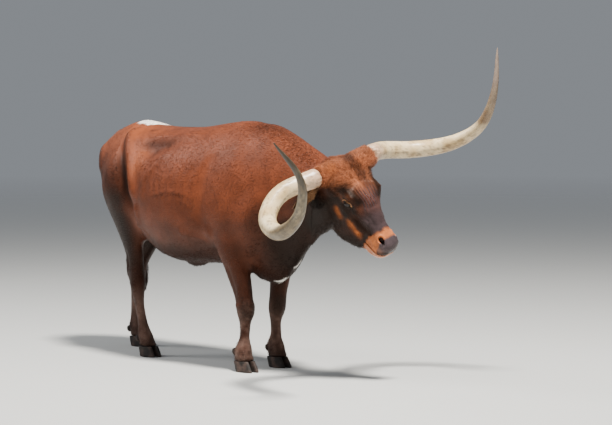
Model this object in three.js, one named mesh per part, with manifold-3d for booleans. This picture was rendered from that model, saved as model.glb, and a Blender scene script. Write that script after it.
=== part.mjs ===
// A Texas longhorn steer, life size, standing with its head low and turned to its left.
// Millimetres. X runs from tail to head, Y to the animal's left, Z up, and the feet stand on Z = 0.
// Each length of flesh is a loft: rings of points on a few measured stations, with the bony points
// and hollows added as smooth swells. Neighbours are cut clear of each other by a thin gap.
import * as THREE from "three";
import { mergeVertices } from "three/addons/utils/BufferGeometryUtils.js";
import Module from "manifold-3d";

const wasm = await Module();
wasm.setup();

// Driving sizes
const GAP = 0.35; // clearance between neighbouring pieces
const TORSO_SIDES = 30;
const NECK_SIDES = 26;
const HEAD_SIDES = 28;
const SIDES = { left: 1, right: -1 };

const v3 = (x, y, z) => new THREE.Vector3(x, y, z);
const mix = THREE.MathUtils.lerp;

// Solids and rings

// A closed solid from a geometry, with its faces turned outwards.
function solidOf(geometry) {
  const bare = new THREE.BufferGeometry();
  bare.setAttribute("position", geometry.getAttribute("position"));
  bare.setIndex(geometry.index);
  const merged = mergeVertices(bare, 1e-3);
  const triVerts = new Uint32Array(merged.index.array);
  const vertProperties = new Float32Array(merged.attributes.position.array);
  const make = () => new wasm.Manifold(new wasm.Mesh({ numProp: 3, vertProperties, triVerts }));
  let made = make();
  if (made.volume() < 0) {
    for (let i = 0; i < triVerts.length; i += 3) {
      [triVerts[i], triVerts[i + 1]] = [triVerts[i + 1], triVerts[i]];
    }
    made = make();
  }
  return made;
}

function geometryOf(solid) {
  const mesh = solid.getMesh();
  const geometry = new THREE.BufferGeometry();
  geometry.setAttribute("position", new THREE.BufferAttribute(mesh.vertProperties, 3));
  geometry.setIndex(new THREE.BufferAttribute(mesh.triVerts, 1));
  return geometry;
}

// The largest closed surface of a solid, which drops scraps and fills sealed hollows.
function largest(solid) {
  return solid.decompose().sort((a, b) => b.volume() - a.volume())[0];
}

// Rings of equal count, skinned in order and closed by a fan at each end.
function loft(rings) {
  const sides = rings[0].length;
  const points = rings.flat();
  const centre = (ring) => ring.reduce((sum, p) => sum.add(p), v3(0, 0, 0)).divideScalar(sides);
  points.push(centre(rings[0]), centre(rings.at(-1)));
  const first = points.length - 2;
  const last = points.length - 1;
  const index = [];
  for (let i = 0; i < sides; i++) {
    const j = (i + 1) % sides;
    for (let r = 0; r < rings.length - 1; r++) {
      const a = r * sides;
      const b = a + sides;
      index.push(a + i, a + j, b + j, a + i, b + j, b + i);
    }
    const top = (rings.length - 1) * sides;
    index.push(first, j, i, last, top + i, top + j);
  }
  const geometry = new THREE.BufferGeometry().setFromPoints(points);
  geometry.setIndex(index);
  return solidOf(geometry);
}

// A smooth reading of a station table: value(key, at) passes through every row without overshoot.
function stations(rows, along) {
  const at = rows.map((row) => row[along]);
  const slopes = {};
  const slopeOf = (key) => {
    slopes[key] ??= rows.map((row, i) => {
      if (i === 0 || i === rows.length - 1) return 0;
      const before = (row[key] - rows[i - 1][key]) / (at[i] - at[i - 1]);
      const after = (rows[i + 1][key] - row[key]) / (at[i + 1] - at[i]);
      return before * after <= 0 ? 0 : (2 * before * after) / (before + after);
    });
    return slopes[key];
  };
  return (key, x) => {
    const i = Math.max(0, Math.min(rows.length - 2, at.findIndex((a) => a > x) - 1));
    const k = x >= at.at(-1) ? rows.length - 2 : i;
    const span = at[k + 1] - at[k];
    const t = THREE.MathUtils.clamp((x - at[k]) / span, 0, 1);
    const m = slopeOf(key);
    const a = rows[k][key];
    const b = rows[k + 1][key];
    return (
      a * (2 * t ** 3 - 3 * t ** 2 + 1) +
      m[k] * span * (t ** 3 - 2 * t ** 2 + t) +
      b * (3 * t ** 2 - 2 * t ** 3) +
      m[k + 1] * span * (t ** 3 - t ** 2)
    );
  };
}

// A point of a rounded section at an angle from its top: sideways and upwards shares, each -1 to 1.
// Fullness 2 is an ellipse, less is a ridge or keel, and more is boxy.
function section(angle, fullTop, fullBottom) {
  const full = Math.cos(angle) >= 0 ? fullTop : fullBottom;
  const power = (c) => Math.sign(c) * Math.abs(c) ** (2 / full);
  return [power(Math.sin(angle)), power(Math.cos(angle))];
}

// The height of a set of smooth swells at a point. Each is given for the left and mirrored.
function swellAt(swells, p) {
  let rise = 0;
  for (const { at, reach, rise: height, side } of swells) {
    const y = side ? p.y : Math.abs(p.y);
    const off = [p.x - at[0], y - at[1], p.z - at[2]];
    const d = off.reduce((sum, part, axis) => sum + (part / reach[axis]) ** 2, 0);
    rise += height * Math.exp(-d);
  }
  return rise;
}

// A loft whose rings lie across X, read from a table of top, bottom, half width and widest height.
function bodyLoft(rows, swells, xs, sides, grow = 0) {
  const read = stations(rows, "x");
  const ringAt = (x) => {
    const widest = read("widest", x);
    const top = read("top", x);
    const bottom = read("bottom", x);
    return Array.from({ length: sides }, (_, i) => {
      const angle = (2 * Math.PI * i) / sides;
      const [s, c] = section(angle, read("ridge", x), read("keel", x));
      const p = v3(x, s * read("half", x), widest + c * (c > 0 ? top - widest : widest - bottom));
      const out = v3(0, s, c).normalize();
      return p.addScaledVector(out, swellAt(swells, p) + grow);
    });
  };
  return xs.map(ringAt);
}

// Rings across a bent axis: each row gives the centre, the fore-and-aft and sideways half sizes,
// and yaw, which turns the back of the section towards the midline.
function limbRings(rows, swells, steps, sides, grow = 0) {
  const read = stations(rows.map((row, i) => ({ ...row, i })), "i");
  const rings = [];
  for (let s = 0; s <= steps; s++) {
    const t = ((rows.length - 1) * s) / steps;
    const c = v3(read("x", t), read("y", t), read("z", t));
    const outward = Math.sign(c.y);
    const yaw = THREE.MathUtils.degToRad(read("yaw", t)) * outward;
    const slope = Math.tan(THREE.MathUtils.degToRad(read("tilt", t)));
    rings.push(
      Array.from({ length: sides }, (_, i) => {
        const angle = (2 * Math.PI * (i + 0.5)) / sides;
        const [side, end] = section(angle, read("front", t), read("back", t));
        const fore = end * ((end > 0 ? read("fore", t) : read("aft", t)) + grow);
        const across = side * (read("wide", t) + grow);
        const x = fore * Math.cos(yaw) - across * Math.sin(yaw);
        const y = fore * Math.sin(yaw) + across * Math.cos(yaw);
        const p = v3(c.x + x, c.y + y, c.z + x * slope);
        return p.addScaledVector(v3(x, y, 0).normalize(), swellAt(swells, p));
      })
    );
  }
  return rings;
}

// Torso: withers to pin bones, with the barrel, the flank and the brisket

const TORSO = [
  { x: -1545, top: 1262, bottom: 1130, half: 70, widest: 1200, ridge: 2, keel: 2 },
  { x: -1520, top: 1310, bottom: 1060, half: 128, widest: 1192, ridge: 2, keel: 2 },
  { x: -1470, top: 1370, bottom: 960, half: 172, widest: 1180, ridge: 1.9, keel: 2 },
  { x: -1390, top: 1397, bottom: 880, half: 212, widest: 1170, ridge: 1.8, keel: 2 },
  { x: -1270, top: 1424, bottom: 800, half: 246, widest: 1170, ridge: 1.75, keel: 2 },
  { x: -1160, top: 1446, bottom: 745, half: 266, widest: 1170, ridge: 1.75, keel: 2 },
  { x: -1050, top: 1422, bottom: 690, half: 276, widest: 1130, ridge: 1.9, keel: 2 },
  { x: -930, top: 1406, bottom: 644, half: 288, widest: 1060, ridge: 2.05, keel: 2.1 },
  { x: -800, top: 1400, bottom: 602, half: 318, widest: 1010, ridge: 2.1, keel: 2.2 },
  { x: -650, top: 1400, bottom: 584, half: 346, widest: 980, ridge: 2.05, keel: 2.2 },
  { x: -480, top: 1406, bottom: 588, half: 354, widest: 965, ridge: 2, keel: 2.15 },
  { x: -320, top: 1424, bottom: 596, half: 340, widest: 965, ridge: 1.85, keel: 2.05 },
  { x: -180, top: 1442, bottom: 592, half: 308, widest: 960, ridge: 1.7, keel: 2 },
  { x: -40, top: 1450, bottom: 566, half: 276, widest: 950, ridge: 1.6, keel: 1.9 },
  { x: 80, top: 1436, bottom: 520, half: 254, widest: 940, ridge: 1.6, keel: 1.75 },
  { x: 170, top: 1385, bottom: 500, half: 236, widest: 915, ridge: 1.7, keel: 1.6 },
  { x: 250, top: 1290, bottom: 522, half: 206, widest: 890, ridge: 1.8, keel: 1.6 },
  { x: 320, top: 1180, bottom: 580, half: 164, widest: 870, ridge: 1.9, keel: 1.7 },
  { x: 372, top: 1060, bottom: 668, half: 104, widest: 860, ridge: 2, keel: 1.9 },
  { x: 394, top: 960, bottom: 770, half: 44, widest: 865, ridge: 2, keel: 2 },
];
const TORSO_SWELLS = [
  { name: "hook bone", at: [-955, 262, 1325], reach: [75, 60, 48], rise: 34 },
  { name: "pin bone", at: [-1520, 125, 1205], reach: [60, 55, 55], rise: 20 },
  { name: "hollow before the hook", at: [-715, 265, 1300], reach: [120, 90, 62], rise: -40 },
  { name: "fold of the flank", at: [-862, 300, 1050], reach: [55, 90, 230], rise: 16 },
  { name: "hollow behind the fold", at: [-1010, 275, 1110], reach: [58, 90, 190], rise: -26 },
  { name: "hollow behind the hook", at: [-1200, 230, 1310], reach: [130, 70, 70], rise: -26 },
  { name: "side of the tail head", at: [-1420, 110, 1340], reach: [70, 70, 60], rise: -22 },
  { name: "shoulder blade", at: [20, 235, 1180], reach: [130, 110, 190], rise: 26 },
  { name: "point of the shoulder", at: [225, 215, 880], reach: [95, 90, 105], rise: 36 },
  { name: "upper arm", at: [60, 235, 800], reach: [120, 90, 110], rise: 22 },
  { name: "hollow behind the shoulder", at: [-190, 320, 1060], reach: [70, 90, 220], rise: -18 },
  { name: "hollow behind the elbow", at: [-190, 230, 680], reach: [80, 110, 80], rise: -22 },
];
const TORSO_STEPS = 28;
const torsoXs = () => {
  // Stations lie closer together towards the rounded ends.
  const low = TORSO[0].x;
  const high = TORSO.at(-1).x;
  return Array.from({ length: TORSO_STEPS + 1 }, (_, i) => {
    const t = i / TORSO_STEPS;
    const eased = t + 0.1 * Math.sin(2 * Math.PI * t) * -1;
    return mix(low, high, THREE.MathUtils.clamp(eased, 0, 1));
  });
};
const torsoSolid = (grow = 0) => loft(bodyLoft(TORSO, TORSO_SWELLS, torsoXs(), TORSO_SIDES, grow));

// Head frame: its origin is the middle of the poll, X runs down the face and Z out of the forehead

const POLL = v3(832, -9, 1211);
const FACE_FORWARD = v3(0.522, 0.304, -0.797).normalize();
const FACE_UP = v3(0.849, -0.09, 0.521).normalize();
const faceLeft = FACE_UP.clone().cross(FACE_FORWARD).normalize();
const faceUp = FACE_FORWARD.clone().cross(faceLeft);
const headMatrix = new THREE.Matrix4().makeBasis(FACE_FORWARD, faceLeft, faceUp).setPosition(POLL);

const HEAD = [
  { x: -100, top: -62, bottom: -130, half: 46, widest: -92, ridge: 2, keel: 2 },
  { x: -80, top: -54, bottom: -172, half: 90, widest: -86, ridge: 2.1, keel: 2 },
  { x: -42, top: -32, bottom: -220, half: 122, widest: -78, ridge: 2.3, keel: 2 },
  { x: 20, top: 2, bottom: -266, half: 132, widest: -72, ridge: 2.6, keel: 2.1 },
  { x: 90, top: 22, bottom: -312, half: 124, widest: -70, ridge: 2.9, keel: 2.4 },
  { x: 150, top: 21, bottom: -344, half: 115, widest: -72, ridge: 2.9, keel: 2.6 },
  { x: 210, top: 13, bottom: -362, half: 108, widest: -76, ridge: 2.9, keel: 2.9 },
  { x: 270, top: 2, bottom: -362, half: 96, widest: -92, ridge: 2.4, keel: 3.1 },
  { x: 330, top: -12, bottom: -336, half: 82, widest: -108, ridge: 2.1, keel: 3.1 },
  { x: 385, top: -27, bottom: -300, half: 71, widest: -116, ridge: 2, keel: 2.9 },
  { x: 435, top: -40, bottom: -238, half: 66, widest: -118, ridge: 2.1, keel: 2.6 },
  { x: 475, top: -49, bottom: -212, half: 69, widest: -114, ridge: 2.4, keel: 2.5 },
  { x: 505, top: -57, bottom: -201, half: 68, widest: -114, ridge: 2.6, keel: 2.5 },
  { x: 526, top: -70, bottom: -187, half: 58, widest: -118, ridge: 2.5, keel: 2.4 },
  { x: 538, top: -90, bottom: -164, half: 36, widest: -124, ridge: 2.4, keel: 2.3 },
];
const EYE_DETAIL = [12, 9];
const EYE = { x: 199, y: 107, z: -52, radius: 21 };
const HEAD_SWELLS = [
  { name: "brow", at: [208, 124, -8], reach: [50, 46, 31], rise: 58 },
  { name: "hollow of the eye", at: [206, 126, -58], reach: [34, 34, 24], rise: -8 },
  { name: "root of the horn", at: [84, 126, -18], reach: [62, 52, 46], rise: 22 },
  { name: "hollow of the temple", at: [120, 122, -90], reach: [42, 40, 34], rise: -12 },
  { name: "cheek", at: [140, 115, -190], reach: [85, 50, 75], rise: 12 },
  { name: "hollow under the eye", at: [275, 98, -100], reach: [46, 34, 34], rise: -8 },
  { name: "face crest", at: [330, 82, -130], reach: [58, 30, 24], rise: 8 },
  { name: "hollow above the mouth", at: [405, 66, -118], reach: [42, 40, 40], rise: -6 },
  { name: "rim of the nostril", at: [470, 52, -58], reach: [30, 26, 24], rise: 8 },
  { name: "upper lip", at: [470, 62, -140], reach: [48, 40, 18], rise: 5 },
  { name: "chin", at: [470, 30, -204], reach: [38, 50, 24], rise: 6 },
  { name: "hollow behind the chin", at: [425, 30, -232], reach: [30, 60, 30], rise: -6 },
  { name: "angle of the jaw", at: [130, 90, -290], reach: [60, 60, 50], rise: 8 },
  { name: "hollow between the jaws", at: [260, 0, -314], reach: [110, 34, 40], rise: -18 },
];
const HEAD_STEPS = 29;
const headXs = Array.from({ length: HEAD_STEPS + 1 }, (_, i) => {
  const t = i / HEAD_STEPS;
  return mix(HEAD[0].x, HEAD.at(-1).x, t + 0.09 * Math.sin(2 * Math.PI * t) * -1);
});
const headRead = stations(HEAD, "x");
// How far out the side of the head is at a place along the face and a height.
function headSide(x, z) {
  const widest = headRead("widest", x);
  const upper = z > widest;
  const tall = upper ? headRead("top", x) - widest : widest - headRead("bottom", x);
  const full = headRead(upper ? "ridge" : "keel", x);
  const share = Math.min(1, Math.abs(z - widest) / tall);
  const y = headRead("half", x) * (1 - share ** full) ** (1 / full);
  return y + swellAt(HEAD_SWELLS, v3(x, y, z));
}

// A tube along a curve, with its radius given along it, flattened towards the given normal.
function tube(curve, steps, sides, radius, flat, normal) {
  const rings = [];
  for (let s = 0; s <= steps; s++) {
    const t = s / steps;
    const c = curve.getPoint(t);
    const ahead = curve.getTangent(t);
    const across = normal.clone().cross(ahead).normalize();
    const up = ahead.clone().cross(across);
    const r = radius(t);
    rings.push(
      Array.from({ length: sides }, (_, i) => {
        const angle = (2 * Math.PI * i) / sides;
        return c
          .clone()
          .addScaledVector(across, r * Math.cos(angle))
          .addScaledVector(up, r * flat(t) * Math.sin(angle));
      })
    );
  }
  return loft(rings);
}

// An ellipsoid at a place, turned by Euler angles in degrees.
function egg(at, half, turn = [0, 0, 0], detail = [14, 10]) {
  const geometry = new THREE.SphereGeometry(1, ...detail);
  geometry.scale(...half);
  const euler = new THREE.Euler(...turn.map(THREE.MathUtils.degToRad));
  geometry.applyMatrix4(new THREE.Matrix4().makeRotationFromEuler(euler));
  geometry.translate(...at);
  geometry.deleteAttribute("normal");
  geometry.deleteAttribute("uv");
  return solidOf(geometry);
}

const roundTube = () => 1;

// Horns: centre lines in the head frame, from the hair line to the tip

const HORN_LINES = {
  right: [
    [-9, -164, -57],
    [-31, -403, -121],
    [74, -599, -96],
    [214, -706, 62],
    [237, -730, 300],
    [124, -756, 514],
    [-84, -854, 621],
  ],
  left: [
    [16, 180, 6],
    [-11, 396, -125],
    [79, 592, -96],
    [176, 703, 73],
    [207, 739, 300],
    [119, 767, 502],
    [-59, 846, 633],
  ],
};
const HORN_RADII = [
  { t: 0, r: 54 },
  { t: 0.12, r: 51 },
  { t: 0.3, r: 50 },
  { t: 0.45, r: 45 },
  { t: 0.6, r: 35 },
  { t: 0.75, r: 25.5 },
  { t: 0.88, r: 15 },
  { t: 0.96, r: 8 },
  { t: 1, r: 2.5 },
];
const hornRadius = stations(HORN_RADII, "t");
const hornCurve = (side) =>
  new THREE.CatmullRomCurve3(HORN_LINES[side].map((p) => v3(...p)), false, "centripetal");
function hornSolid(side) {
  const curve = hornCurve(side);
  curve.arcLengthDivisions = 400;
  const steps = 26;
  const even = { getPoint: (t) => curve.getPointAt(t), getTangent: (t) => curve.getTangentAt(t) };
  return tube(even, steps, 12, (t) => hornRadius("r", t), roundTube, v3(1, 0, 0.35));
}

// The hairy stumps that carry the horns
const STUMP = { radius: 58, swell: 30, flat: 0.8 };
function hornStumps(grow = 0) {
  const right = v3(...HORN_LINES.right[0]).add(v3(0, -grow, 0));
  const left = v3(...HORN_LINES.left[0]).add(v3(0, grow, 0));
  const curve = new THREE.CatmullRomCurve3([right, v3(30, 0, -52), left]);
  const radius = (t) => STUMP.radius + STUMP.swell * Math.sin(Math.PI * t) + grow;
  return tube(curve, 8, 16, radius, (t) => mix(1, STUMP.flat, Math.sin(Math.PI * t)), v3(0, 0, 1));
}

// Lids: a crescent above and one below the eye, on the ball's own sphere
function lid(side, upper) {
  const s = SIDES[side];
  const out = v3(0.2, 0.97 * s, 0.12).normalize();
  const ahead = v3(0.96, -0.2 * s, -0.16).normalize();
  const above = ahead.clone().cross(out).multiplyScalar(s).normalize();
  const centre = v3(EYE.x, EYE.y * s, EYE.z);
  const bow = upper ? 12 : -11;
  const points = [-1, -0.6, 0, 0.6, 1].map((k) =>
    centre
      .clone()
      .addScaledVector(
        out
          .clone()
          .multiplyScalar(17)
          .addScaledVector(ahead, 21 * k)
          .addScaledVector(above, bow * (1 - k * k) - 3 * k)
          .normalize(),
        EYE.radius + 3
      )
  );
  const thick = upper ? 9 : 7.5;
  const width = (t) => mix(2.5, thick, Math.sin(Math.PI * t));
  return tube(new THREE.CatmullRomCurve3(points), 7, 6, width, roundTube, out);
}

function mouthLine() {
  const xs = [392, 420, 450, 480, 505, 520, 529, 533];
  const low = (x) => -176 + (x - 392) * 0.34;
  const right = xs.map((x) => v3(x, -headSide(x, low(x)) - 0.5, low(x)));
  const left = right.map((p) => v3(p.x, -p.y, p.z)).reverse();
  const curve = new THREE.CatmullRomCurve3([...right, v3(537, 0, low(537)), ...left]);
  return tube(curve, 30, 4, (t) => 1.5 + 3.6 * Math.sin(Math.PI * t) ** 0.5, roundTube, v3(0, 0, 1));
}

// Each nostril is a round hole with a groove that curls down and outwards from it.
const NOSTRIL = [
  { at: [463, 53, -60], half: [15, 11, 13], turn: [40, 0, -10] },
  { at: [489, 48, -66], half: [24, 8, 8], turn: [40, 18, -16] },
];

function headSolid(grow = 0) {
  let head = loft(bodyLoft(HEAD, HEAD_SWELLS, headXs, HEAD_SIDES, grow)).add(hornStumps(grow));
  if (grow) return head;
  for (const side of ["left", "right"]) {
    const s = SIDES[side];
    head = head.add(lid(side, true)).add(lid(side, false));
    const socket = egg([EYE.x, EYE.y * s, EYE.z], Array(3).fill(EYE.radius + GAP), [0, 0, 0], EYE_DETAIL);
    head = head.subtract(socket);
    for (const { at, half, turn } of NOSTRIL) {
      const [roll, pitch, yaw] = turn;
      const hole = egg([at[0], at[1] * s, at[2]], half, [roll * s, pitch, yaw * s], [8, 6]);
      head = head.subtract(hole);
    }
  }
  return head.subtract(mouthLine());
}

// Ears: a leaf with a cupped face, lofted in crescents from root to tip
const EAR = { length: 205, half: 52, depth: 24, wall: 7 };
function earSolid(grow = 0) {
  const across = 8; // points over the back of the ear, and as many in the cup
  const steps = 9;
  const rings = [];
  for (let s = 0; s <= steps; s++) {
    const t = s / steps;
    const broad = EAR.half * (0.34 + 0.66 * Math.sin(Math.PI * Math.min(1, 0.12 + 0.75 * t)) ** 0.8);
    const taper = Math.sqrt(Math.max(0.02, 1 - Math.max(0, (t - 0.55) / 0.45) ** 2));
    const half = broad * taper + grow;
    const depth = EAR.depth * (1 - 0.55 * t) * taper;
    const wall = mix(EAR.wall * 2.2, EAR.wall * 0.55, t);
    const droop = -26 * t * t;
    const back = [];
    const cup = [];
    for (let i = 0; i <= across; i++) {
      const k = (2 * i) / across - 1;
      const arch = 1 - k * k;
      back.push(v3(k * half, t * EAR.length, droop + depth * arch + grow));
      const inside = depth * arch - wall * (0.35 + 0.65 * arch);
      cup.push(v3(k * half * 0.93, t * EAR.length, droop + inside - grow));
    }
    rings.push([...back, ...cup.reverse()]);
  }
  return loft(rings);
}
const EAR_PLACE = {
  left: { at: [36, 100, -148], along: [-0.16, 0.78, -0.6], face: [0.85, 0.1, 0.5] },
  right: { at: [36, -100, -156], along: [-0.1, -0.8, -0.58], face: [0.85, -0.1, 0.5] },
};
// The ear points along one direction with its cup facing another, both in the head frame.
function placedEar(side, grow = 0) {
  const { at, along, face } = EAR_PLACE[side];
  const y = v3(...along).normalize();
  const x = y.clone().cross(v3(...face).negate()).normalize();
  const z = x.clone().cross(y);
  const matrix = new THREE.Matrix4().makeBasis(x, y, z).setPosition(...at);
  return earSolid(grow).transform(matrix.elements);
}

// Neck: rings from inside the chest to behind the poll, turning with the head

const NECK = [
  { top: [60, 1430], bottom: [110, 560], half: 226, y: 0, turn: 0, ridge: 1.7, keel: 1.6 },
  { top: [165, 1431], bottom: [205, 530], half: 228, y: 0, turn: 0, ridge: 1.7, keel: 1.55 },
  { top: [270, 1400], bottom: [325, 582], half: 202, y: 0, turn: 0, ridge: 1.7, keel: 1.45 },
  { top: [370, 1366], bottom: [415, 652], half: 168, y: 1, turn: 0.05, ridge: 1.7, keel: 1.35 },
  { top: [470, 1322], bottom: [510, 728], half: 138, y: 2, turn: 0.15, ridge: 1.75, keel: 1.35 },
  { top: [570, 1280], bottom: [585, 792], half: 122, y: 3, turn: 0.35, ridge: 1.8, keel: 1.5 },
  { top: [665, 1233], bottom: [655, 820], half: 112, y: 2, turn: 0.6, ridge: 1.9, keel: 1.7 },
  { top: [745, 1211], bottom: [712, 850], half: 102, y: 0, turn: 0.8, ridge: 2, keel: 1.9 },
  { top: [800, 1194], bottom: [755, 878], half: 88, y: 0, turn: 0.95, ridge: 2, keel: 2 },
];
function neckSolid(grow = 0) {
  const rows = NECK.map((row, i) => ({
    ...row,
    i,
    topX: row.top[0],
    topZ: row.top[1],
    bottomX: row.bottom[0],
    bottomZ: row.bottom[1],
  }));
  const read = stations(rows, "i");
  const steps = 14;
  const rings = [];
  for (let s = 0; s <= steps; s++) {
    const t = ((rows.length - 1) * s) / steps;
    const top = v3(read("topX", t), read("y", t), read("topZ", t));
    const bottom = v3(read("bottomX", t), read("y", t), read("bottomZ", t));
    const middle = top.clone().lerp(bottom, 0.46);
    const side = v3(0, 1, 0).lerp(faceLeft, read("turn", t)).normalize();
    rings.push(
      Array.from({ length: NECK_SIDES }, (_, i) => {
        const angle = (2 * Math.PI * i) / NECK_SIDES;
        const [across, up] = section(angle, read("ridge", t), read("keel", t));
        const edge = up > 0 ? top : bottom;
        const p = middle.clone().lerp(edge, Math.abs(up));
        return p.addScaledVector(side, across * (read("half", t) + grow)).add(v3(0, 0, up * grow));
      })
    );
  }
  return loft(rings);
}

// Legs: rows run from inside the body to the coronet; x, y and z are the centre of each ring

const CORONET = 62; // height of the top of the claws
const round = { front: 2, back: 2, tilt: 0, yaw: 0 };
const heel = { front: 2.2, back: 1.5, yaw: 0 };
const FORE = {
  right: [
    { x: 60, y: -130, z: 980, fore: 110, aft: 110, wide: 66, ...round },
    { x: 34, y: -168, z: 880, fore: 124, aft: 126, wide: 80, ...round },
    { x: 8, y: -184, z: 780, fore: 124, aft: 124, wide: 84, ...round },
    { x: 6, y: -186, z: 690, fore: 112, aft: 114, wide: 79, ...round },
    { x: 24, y: -178, z: 610, fore: 102, aft: 90, wide: 67, ...round },
    { x: 50, y: -166, z: 510, fore: 84, aft: 72, wide: 56, ...round },
    { x: 74, y: -158, z: 430, fore: 67, aft: 58, wide: 52, ...round },
    { x: 86, y: -154, z: 375, fore: 66, aft: 57, wide: 56, ...round },
    { x: 88, y: -152, z: 330, fore: 58, aft: 55, wide: 52, ...round },
    { x: 82, y: -150, z: 285, fore: 37, aft: 42, wide: 37, ...round },
    { x: 76, y: -150, z: 215, fore: 32, aft: 38, wide: 32, ...round },
    { x: 66, y: -150, z: 160, fore: 38, aft: 44, wide: 41, ...round },
    { x: 60, y: -150, z: 125, fore: 49, aft: 54, wide: 53, ...round },
    { x: 64, y: -150, z: 92, fore: 47, aft: 50, wide: 52, ...round },
    { x: 76, y: -150, z: CORONET + GAP, fore: 58, aft: 56, wide: 60, ...round },
  ],
  left: [
    { x: 24, y: 130, z: 980, fore: 110, aft: 110, wide: 66, ...round },
    { x: 6, y: 168, z: 880, fore: 124, aft: 126, wide: 80, ...round },
    { x: -14, y: 184, z: 780, fore: 124, aft: 124, wide: 84, ...round },
    { x: -22, y: 186, z: 690, fore: 112, aft: 114, wide: 79, ...round },
    { x: -18, y: 178, z: 610, fore: 92, aft: 94, wide: 67, ...round },
    { x: -12, y: 164, z: 510, fore: 70, aft: 74, wide: 56, ...round },
    { x: -18, y: 156, z: 430, fore: 60, aft: 59, wide: 52, ...round },
    { x: -24, y: 152, z: 365, fore: 63, aft: 55, wide: 55, ...round },
    { x: -26, y: 150, z: 320, fore: 55, aft: 53, wide: 50, ...round },
    { x: -32, y: 150, z: 275, fore: 37, aft: 42, wide: 37, ...round },
    { x: -34, y: 150, z: 205, fore: 32, aft: 38, wide: 32, ...round },
    { x: -36, y: 150, z: 155, fore: 38, aft: 44, wide: 41, ...round },
    { x: -33, y: 150, z: 122, fore: 49, aft: 52, wide: 53, ...round },
    { x: -24, y: 150, z: 90, fore: 46, aft: 48, wide: 52, ...round },
    { x: -14, y: 150, z: CORONET + GAP, fore: 58, aft: 54, wide: 60, ...round },
  ],
};
const HIND = {
  right: [
    { x: -1190, y: -112, z: 1300, fore: 170, aft: 200, wide: 86, ...round, tilt: 8, yaw: 10 },
    { x: -1200, y: -150, z: 1170, fore: 232, aft: 262, wide: 120, ...round, tilt: 10, yaw: 13 },
    { x: -1190, y: -168, z: 1030, fore: 240, aft: 246, wide: 121, ...round, tilt: 10, yaw: 15 },
    { x: -1165, y: -172, z: 890, fore: 206, aft: 152, wide: 90, ...round, tilt: 12, yaw: 14 },
    { x: -1120, y: -165, z: 775, fore: 152, aft: 126, wide: 72, ...round, tilt: 14, yaw: 10 },
    { x: -1094, y: -156, z: 670, fore: 100, aft: 92, wide: 53, ...round, tilt: 12, yaw: 6 },
    { x: -1082, y: -147, z: 575, fore: 70, aft: 80, wide: 46, ...round, tilt: 10 },
    { x: -1076, y: -144, z: 500, fore: 60, aft: 82, wide: 46, ...heel, tilt: 10 },
    { x: -1068, y: -142, z: 440, fore: 60, aft: 74, wide: 47, ...heel, tilt: 4 },
    { x: -1062, y: -142, z: 375, fore: 46, aft: 52, wide: 40, ...round },
    { x: -1045, y: -142, z: 300, fore: 34, aft: 40, wide: 32, ...round },
    { x: -1014, y: -142, z: 210, fore: 33, aft: 40, wide: 33, ...round },
    { x: -992, y: -142, z: 155, fore: 40, aft: 48, wide: 42, ...round },
    { x: -976, y: -142, z: 118, fore: 49, aft: 54, wide: 52, ...round },
    { x: -962, y: -142, z: 88, fore: 50, aft: 50, wide: 51, ...round },
    { x: -945, y: -142, z: CORONET + GAP, fore: 58, aft: 56, wide: 60, ...round },
  ],
  left: [
    { x: -1240, y: 112, z: 1300, fore: 170, aft: 180, wide: 86, ...round, tilt: 8, yaw: 10 },
    { x: -1262, y: 150, z: 1170, fore: 240, aft: 232, wide: 120, ...round, tilt: 8, yaw: 13 },
    { x: -1275, y: 168, z: 1030, fore: 248, aft: 226, wide: 126, ...round, tilt: 6, yaw: 14 },
    { x: -1302, y: 172, z: 890, fore: 212, aft: 150, wide: 90, ...round, tilt: 4, yaw: 12 },
    { x: -1345, y: 165, z: 775, fore: 168, aft: 118, wide: 72, ...round, tilt: 2, yaw: 8 },
    { x: -1400, y: 156, z: 670, fore: 122, aft: 88, wide: 53, ...round, tilt: 0, yaw: 4 },
    { x: -1456, y: 150, z: 575, fore: 84, aft: 80, wide: 50, ...round, tilt: 4 },
    { x: -1492, y: 144, z: 500, fore: 66, aft: 82, wide: 46, ...heel, tilt: 10 },
    { x: -1508, y: 142, z: 440, fore: 62, aft: 72, wide: 47, ...heel, tilt: 4 },
    { x: -1520, y: 142, z: 375, fore: 46, aft: 50, wide: 40, ...round },
    { x: -1530, y: 142, z: 300, fore: 34, aft: 40, wide: 32, ...round },
    { x: -1532, y: 142, z: 210, fore: 33, aft: 40, wide: 33, ...round },
    { x: -1526, y: 142, z: 155, fore: 40, aft: 48, wide: 42, ...round },
    { x: -1518, y: 142, z: 118, fore: 49, aft: 54, wide: 52, ...round },
    { x: -1506, y: 142, z: 88, fore: 50, aft: 50, wide: 51, ...round },
    { x: -1490, y: 142, z: CORONET + GAP, fore: 58, aft: 56, wide: 60, ...round },
  ],
};
const LEG_SIDES = 12;
const LEG_SWELLS = [
  { name: "point of the elbow", at: [-105, 215, 735], reach: [55, 60, 55], rise: 16 },
  { name: "right point of the hock", at: [-1150, -142, 492], reach: [34, 40, 42], rise: 10, side: true },
  { name: "left point of the hock", at: [-1568, 144, 492], reach: [34, 40, 42], rise: 10, side: true },
];
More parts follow.
